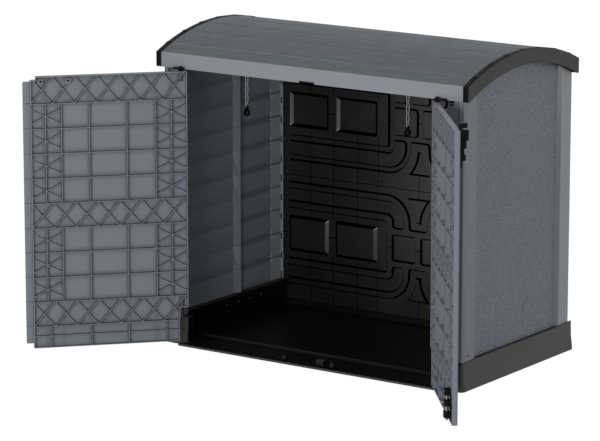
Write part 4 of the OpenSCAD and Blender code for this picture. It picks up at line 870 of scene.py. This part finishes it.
# Latch on the right door's outside. Base rows count from the door's face and lever rows from the lever's near
# side, both about the pin. The base stands up behind the lever and ends in a hood
latchSettings = {
    "s": 545.5, "z": 1053.0, "face": -6.3, "near": -12.5, "ringEase": 0.8,
    "base": [(-20, 20, -4, 0, -62, 52, 6), (-14, 14, -4, 0, 50, 79, 4), (-12, 14, -30, -3, 61, 79, 3),
             (-20, -12, -24, -3, 24, 46, 2.5), (12, 20, -24, -3, -56, -34, 2.5)],
    "lever": [(-8, 8, -6, 0, 11, 58, 4), (-8, 8, -30, -4, 14, 53, 4), (-7, 7, -14, 0, -60, -11, 4),
              (-7, 7, -6, 0, -86, -56, 4)],
    "pin": {"bore": 0.01, "radius": 5.0, "low": -19.8, "high": -3.5},
    "hub": {"bore": 5.3, "radius": 16.0, "low": -21.0, "high": 0.0},
}


def latchPart(m, d, part, side, ring):  # blocks and a ring about the latch pin, whose axis is y
    rows, depth, ring = m[part], m[side], m[ring]
    low, high = depth + ring["low"], depth + ring["high"]
    verts, faces = easedRing(ring["bore"], ring["radius"], low, high, m["ringEase"])
    about = verts[:, [0, 2, 1]] + [m["s"], 0, m["z"]], faces
    return hung(joined([*blocks(rows, (m["s"], depth, m["z"])), about]), 1, d)


for name, part, side, ring in (("latchBase", "base", "face", "pin"), ("latchLever", "lever", "near", "hub")):
    shape = latchPart(latchSettings, doorSettings, part, side, ring)
    meshPiece(name, shape, "bracketBlack", *ofNode("latch_" + part))
print("fittings done")


# Floor, light and camera
stageSettings = {
    "floorSize": 60.0, "shadowShare": 0.1, "matte": 0.9, "glow": 1.07, "worldStrength": 0.6,
}
lampSettings = {
    "keyLamp": {"place": (1.6, -9.5, 2.2), "target": (0, 0, 0.6), "size": (3.5, 2.5), "power": 440},
    "rimLamp": {"place": (8.5, 2.0, 2.6), "target": (0.7, 0, 0.6), "size": (2.5, 2.5), "power": 110},
}


def raysOf(tree, kinds, place):  # 1 for a ray of any of these kinds
    paths = addNode(tree, "ShaderNodeLightPath", place).outputs
    return folded(tree, "MAXIMUM", [paths[kind] for kind in kinds], place)


def pureWhite(name, s):
    mat = bpy.data.materials.new(name)
    mat.use_nodes = True
    tree = mat.node_tree
    tree.nodes.clear()
    out = addNode(tree, "ShaderNodeOutputMaterial", (600, 0))
    seen = raysOf(tree, ("Is Camera Ray", "Is Glossy Ray"), (-400, 300))
    share = maths(tree, "MULTIPLY", seen, 1 - s["shadowShare"], (-200, 300))
    matte = addNode(tree, "ShaderNodeBsdfDiffuse", (0, 0), Color=(s["matte"], s["matte"], s["matte"], 1))
    glow = addNode(tree, "ShaderNodeEmission", (0, -200), Color=(1, 1, 1, 1), Strength=s["glow"])
    mix = addNode(tree, "ShaderNodeMixShader", (300, 0))
    for socket, source in zip(mix.inputs, (share, matte.outputs[0], glow.outputs[0])):
        tree.links.new(source, socket)
    tree.links.new(mix.outputs[0], out.inputs["Surface"])
    return mat


half = stageSettings["floorSize"] / 2
floorCorners = [(-half, -half, 0), (half, -half, 0), (half, half, 0), (-half, half, 0)]
floorMesh = bpy.data.meshes.new("studioFloor")
floorMesh.from_pydata(floorCorners, [], [(0, 1, 2, 3)])
studioFloor = bpy.data.objects.new("studioFloor", floorMesh)
scene.collection.objects.link(studioFloor)
floorMesh.materials.append(pureWhite("studioWhite", stageSettings))

world = bpy.data.worlds.new("studioWorld")
world.use_nodes = True
tree = world.node_tree
background = tree.nodes["Background"]
seen = raysOf(tree, ("Is Camera Ray", "Is Glossy Ray", "Is Transmission Ray"), (-400, 0))
strength = addNode(tree, "ShaderNodeMapRange", (-100, 0))
strength.inputs["To Min"].default_value = stageSettings["worldStrength"]
strength.inputs["To Max"].default_value = 1.0
tree.links.new(seen, strength.inputs["Value"])
tree.links.new(strength.outputs["Result"], background.inputs["Strength"])
background.inputs["Color"].default_value = (1, 1, 1, 1)
scene.world = world


def softLamp(name, place, target, size, power):
    lamp = bpy.data.lights.new(name, "AREA")
    lamp.shape = "RECTANGLE"
    lamp.size, lamp.size_y = size
    lamp.energy = power
    obj = bpy.data.objects.new(name, lamp)
    scene.collection.objects.link(obj)
    obj.location = place
    x, y, z = np.array(target) - np.array(place)
    obj.rotation_euler = (math.atan2(math.hypot(x, y), -z), 0, math.atan2(-x, y))


for name, settings in lampSettings.items():
    softLamp(name, **settings)

cameraSettings = {"place": (7.3006, -10.9905, 3.3535), "pitch": 77.83, "yaw": 34.75,
                  "lens": 204.44, "sensor": 36.0}
cam = bpy.data.cameras.new("photoCamera")
cam.sensor_width = cameraSettings["sensor"]
cam.sensor_fit = "HORIZONTAL"
cam.lens = cameraSettings["lens"]
cam.clip_end = 100.0
camObject = bpy.data.objects.new("photoCamera", cam)
scene.collection.objects.link(camObject)
camObject.location = cameraSettings["place"]
camObject.rotation_euler = (math.radians(cameraSettings["pitch"]), 0, math.radians(cameraSettings["yaw"]))
scene.camera = camObject
scene.view_settings.view_transform = "Standard"
print("stage done")
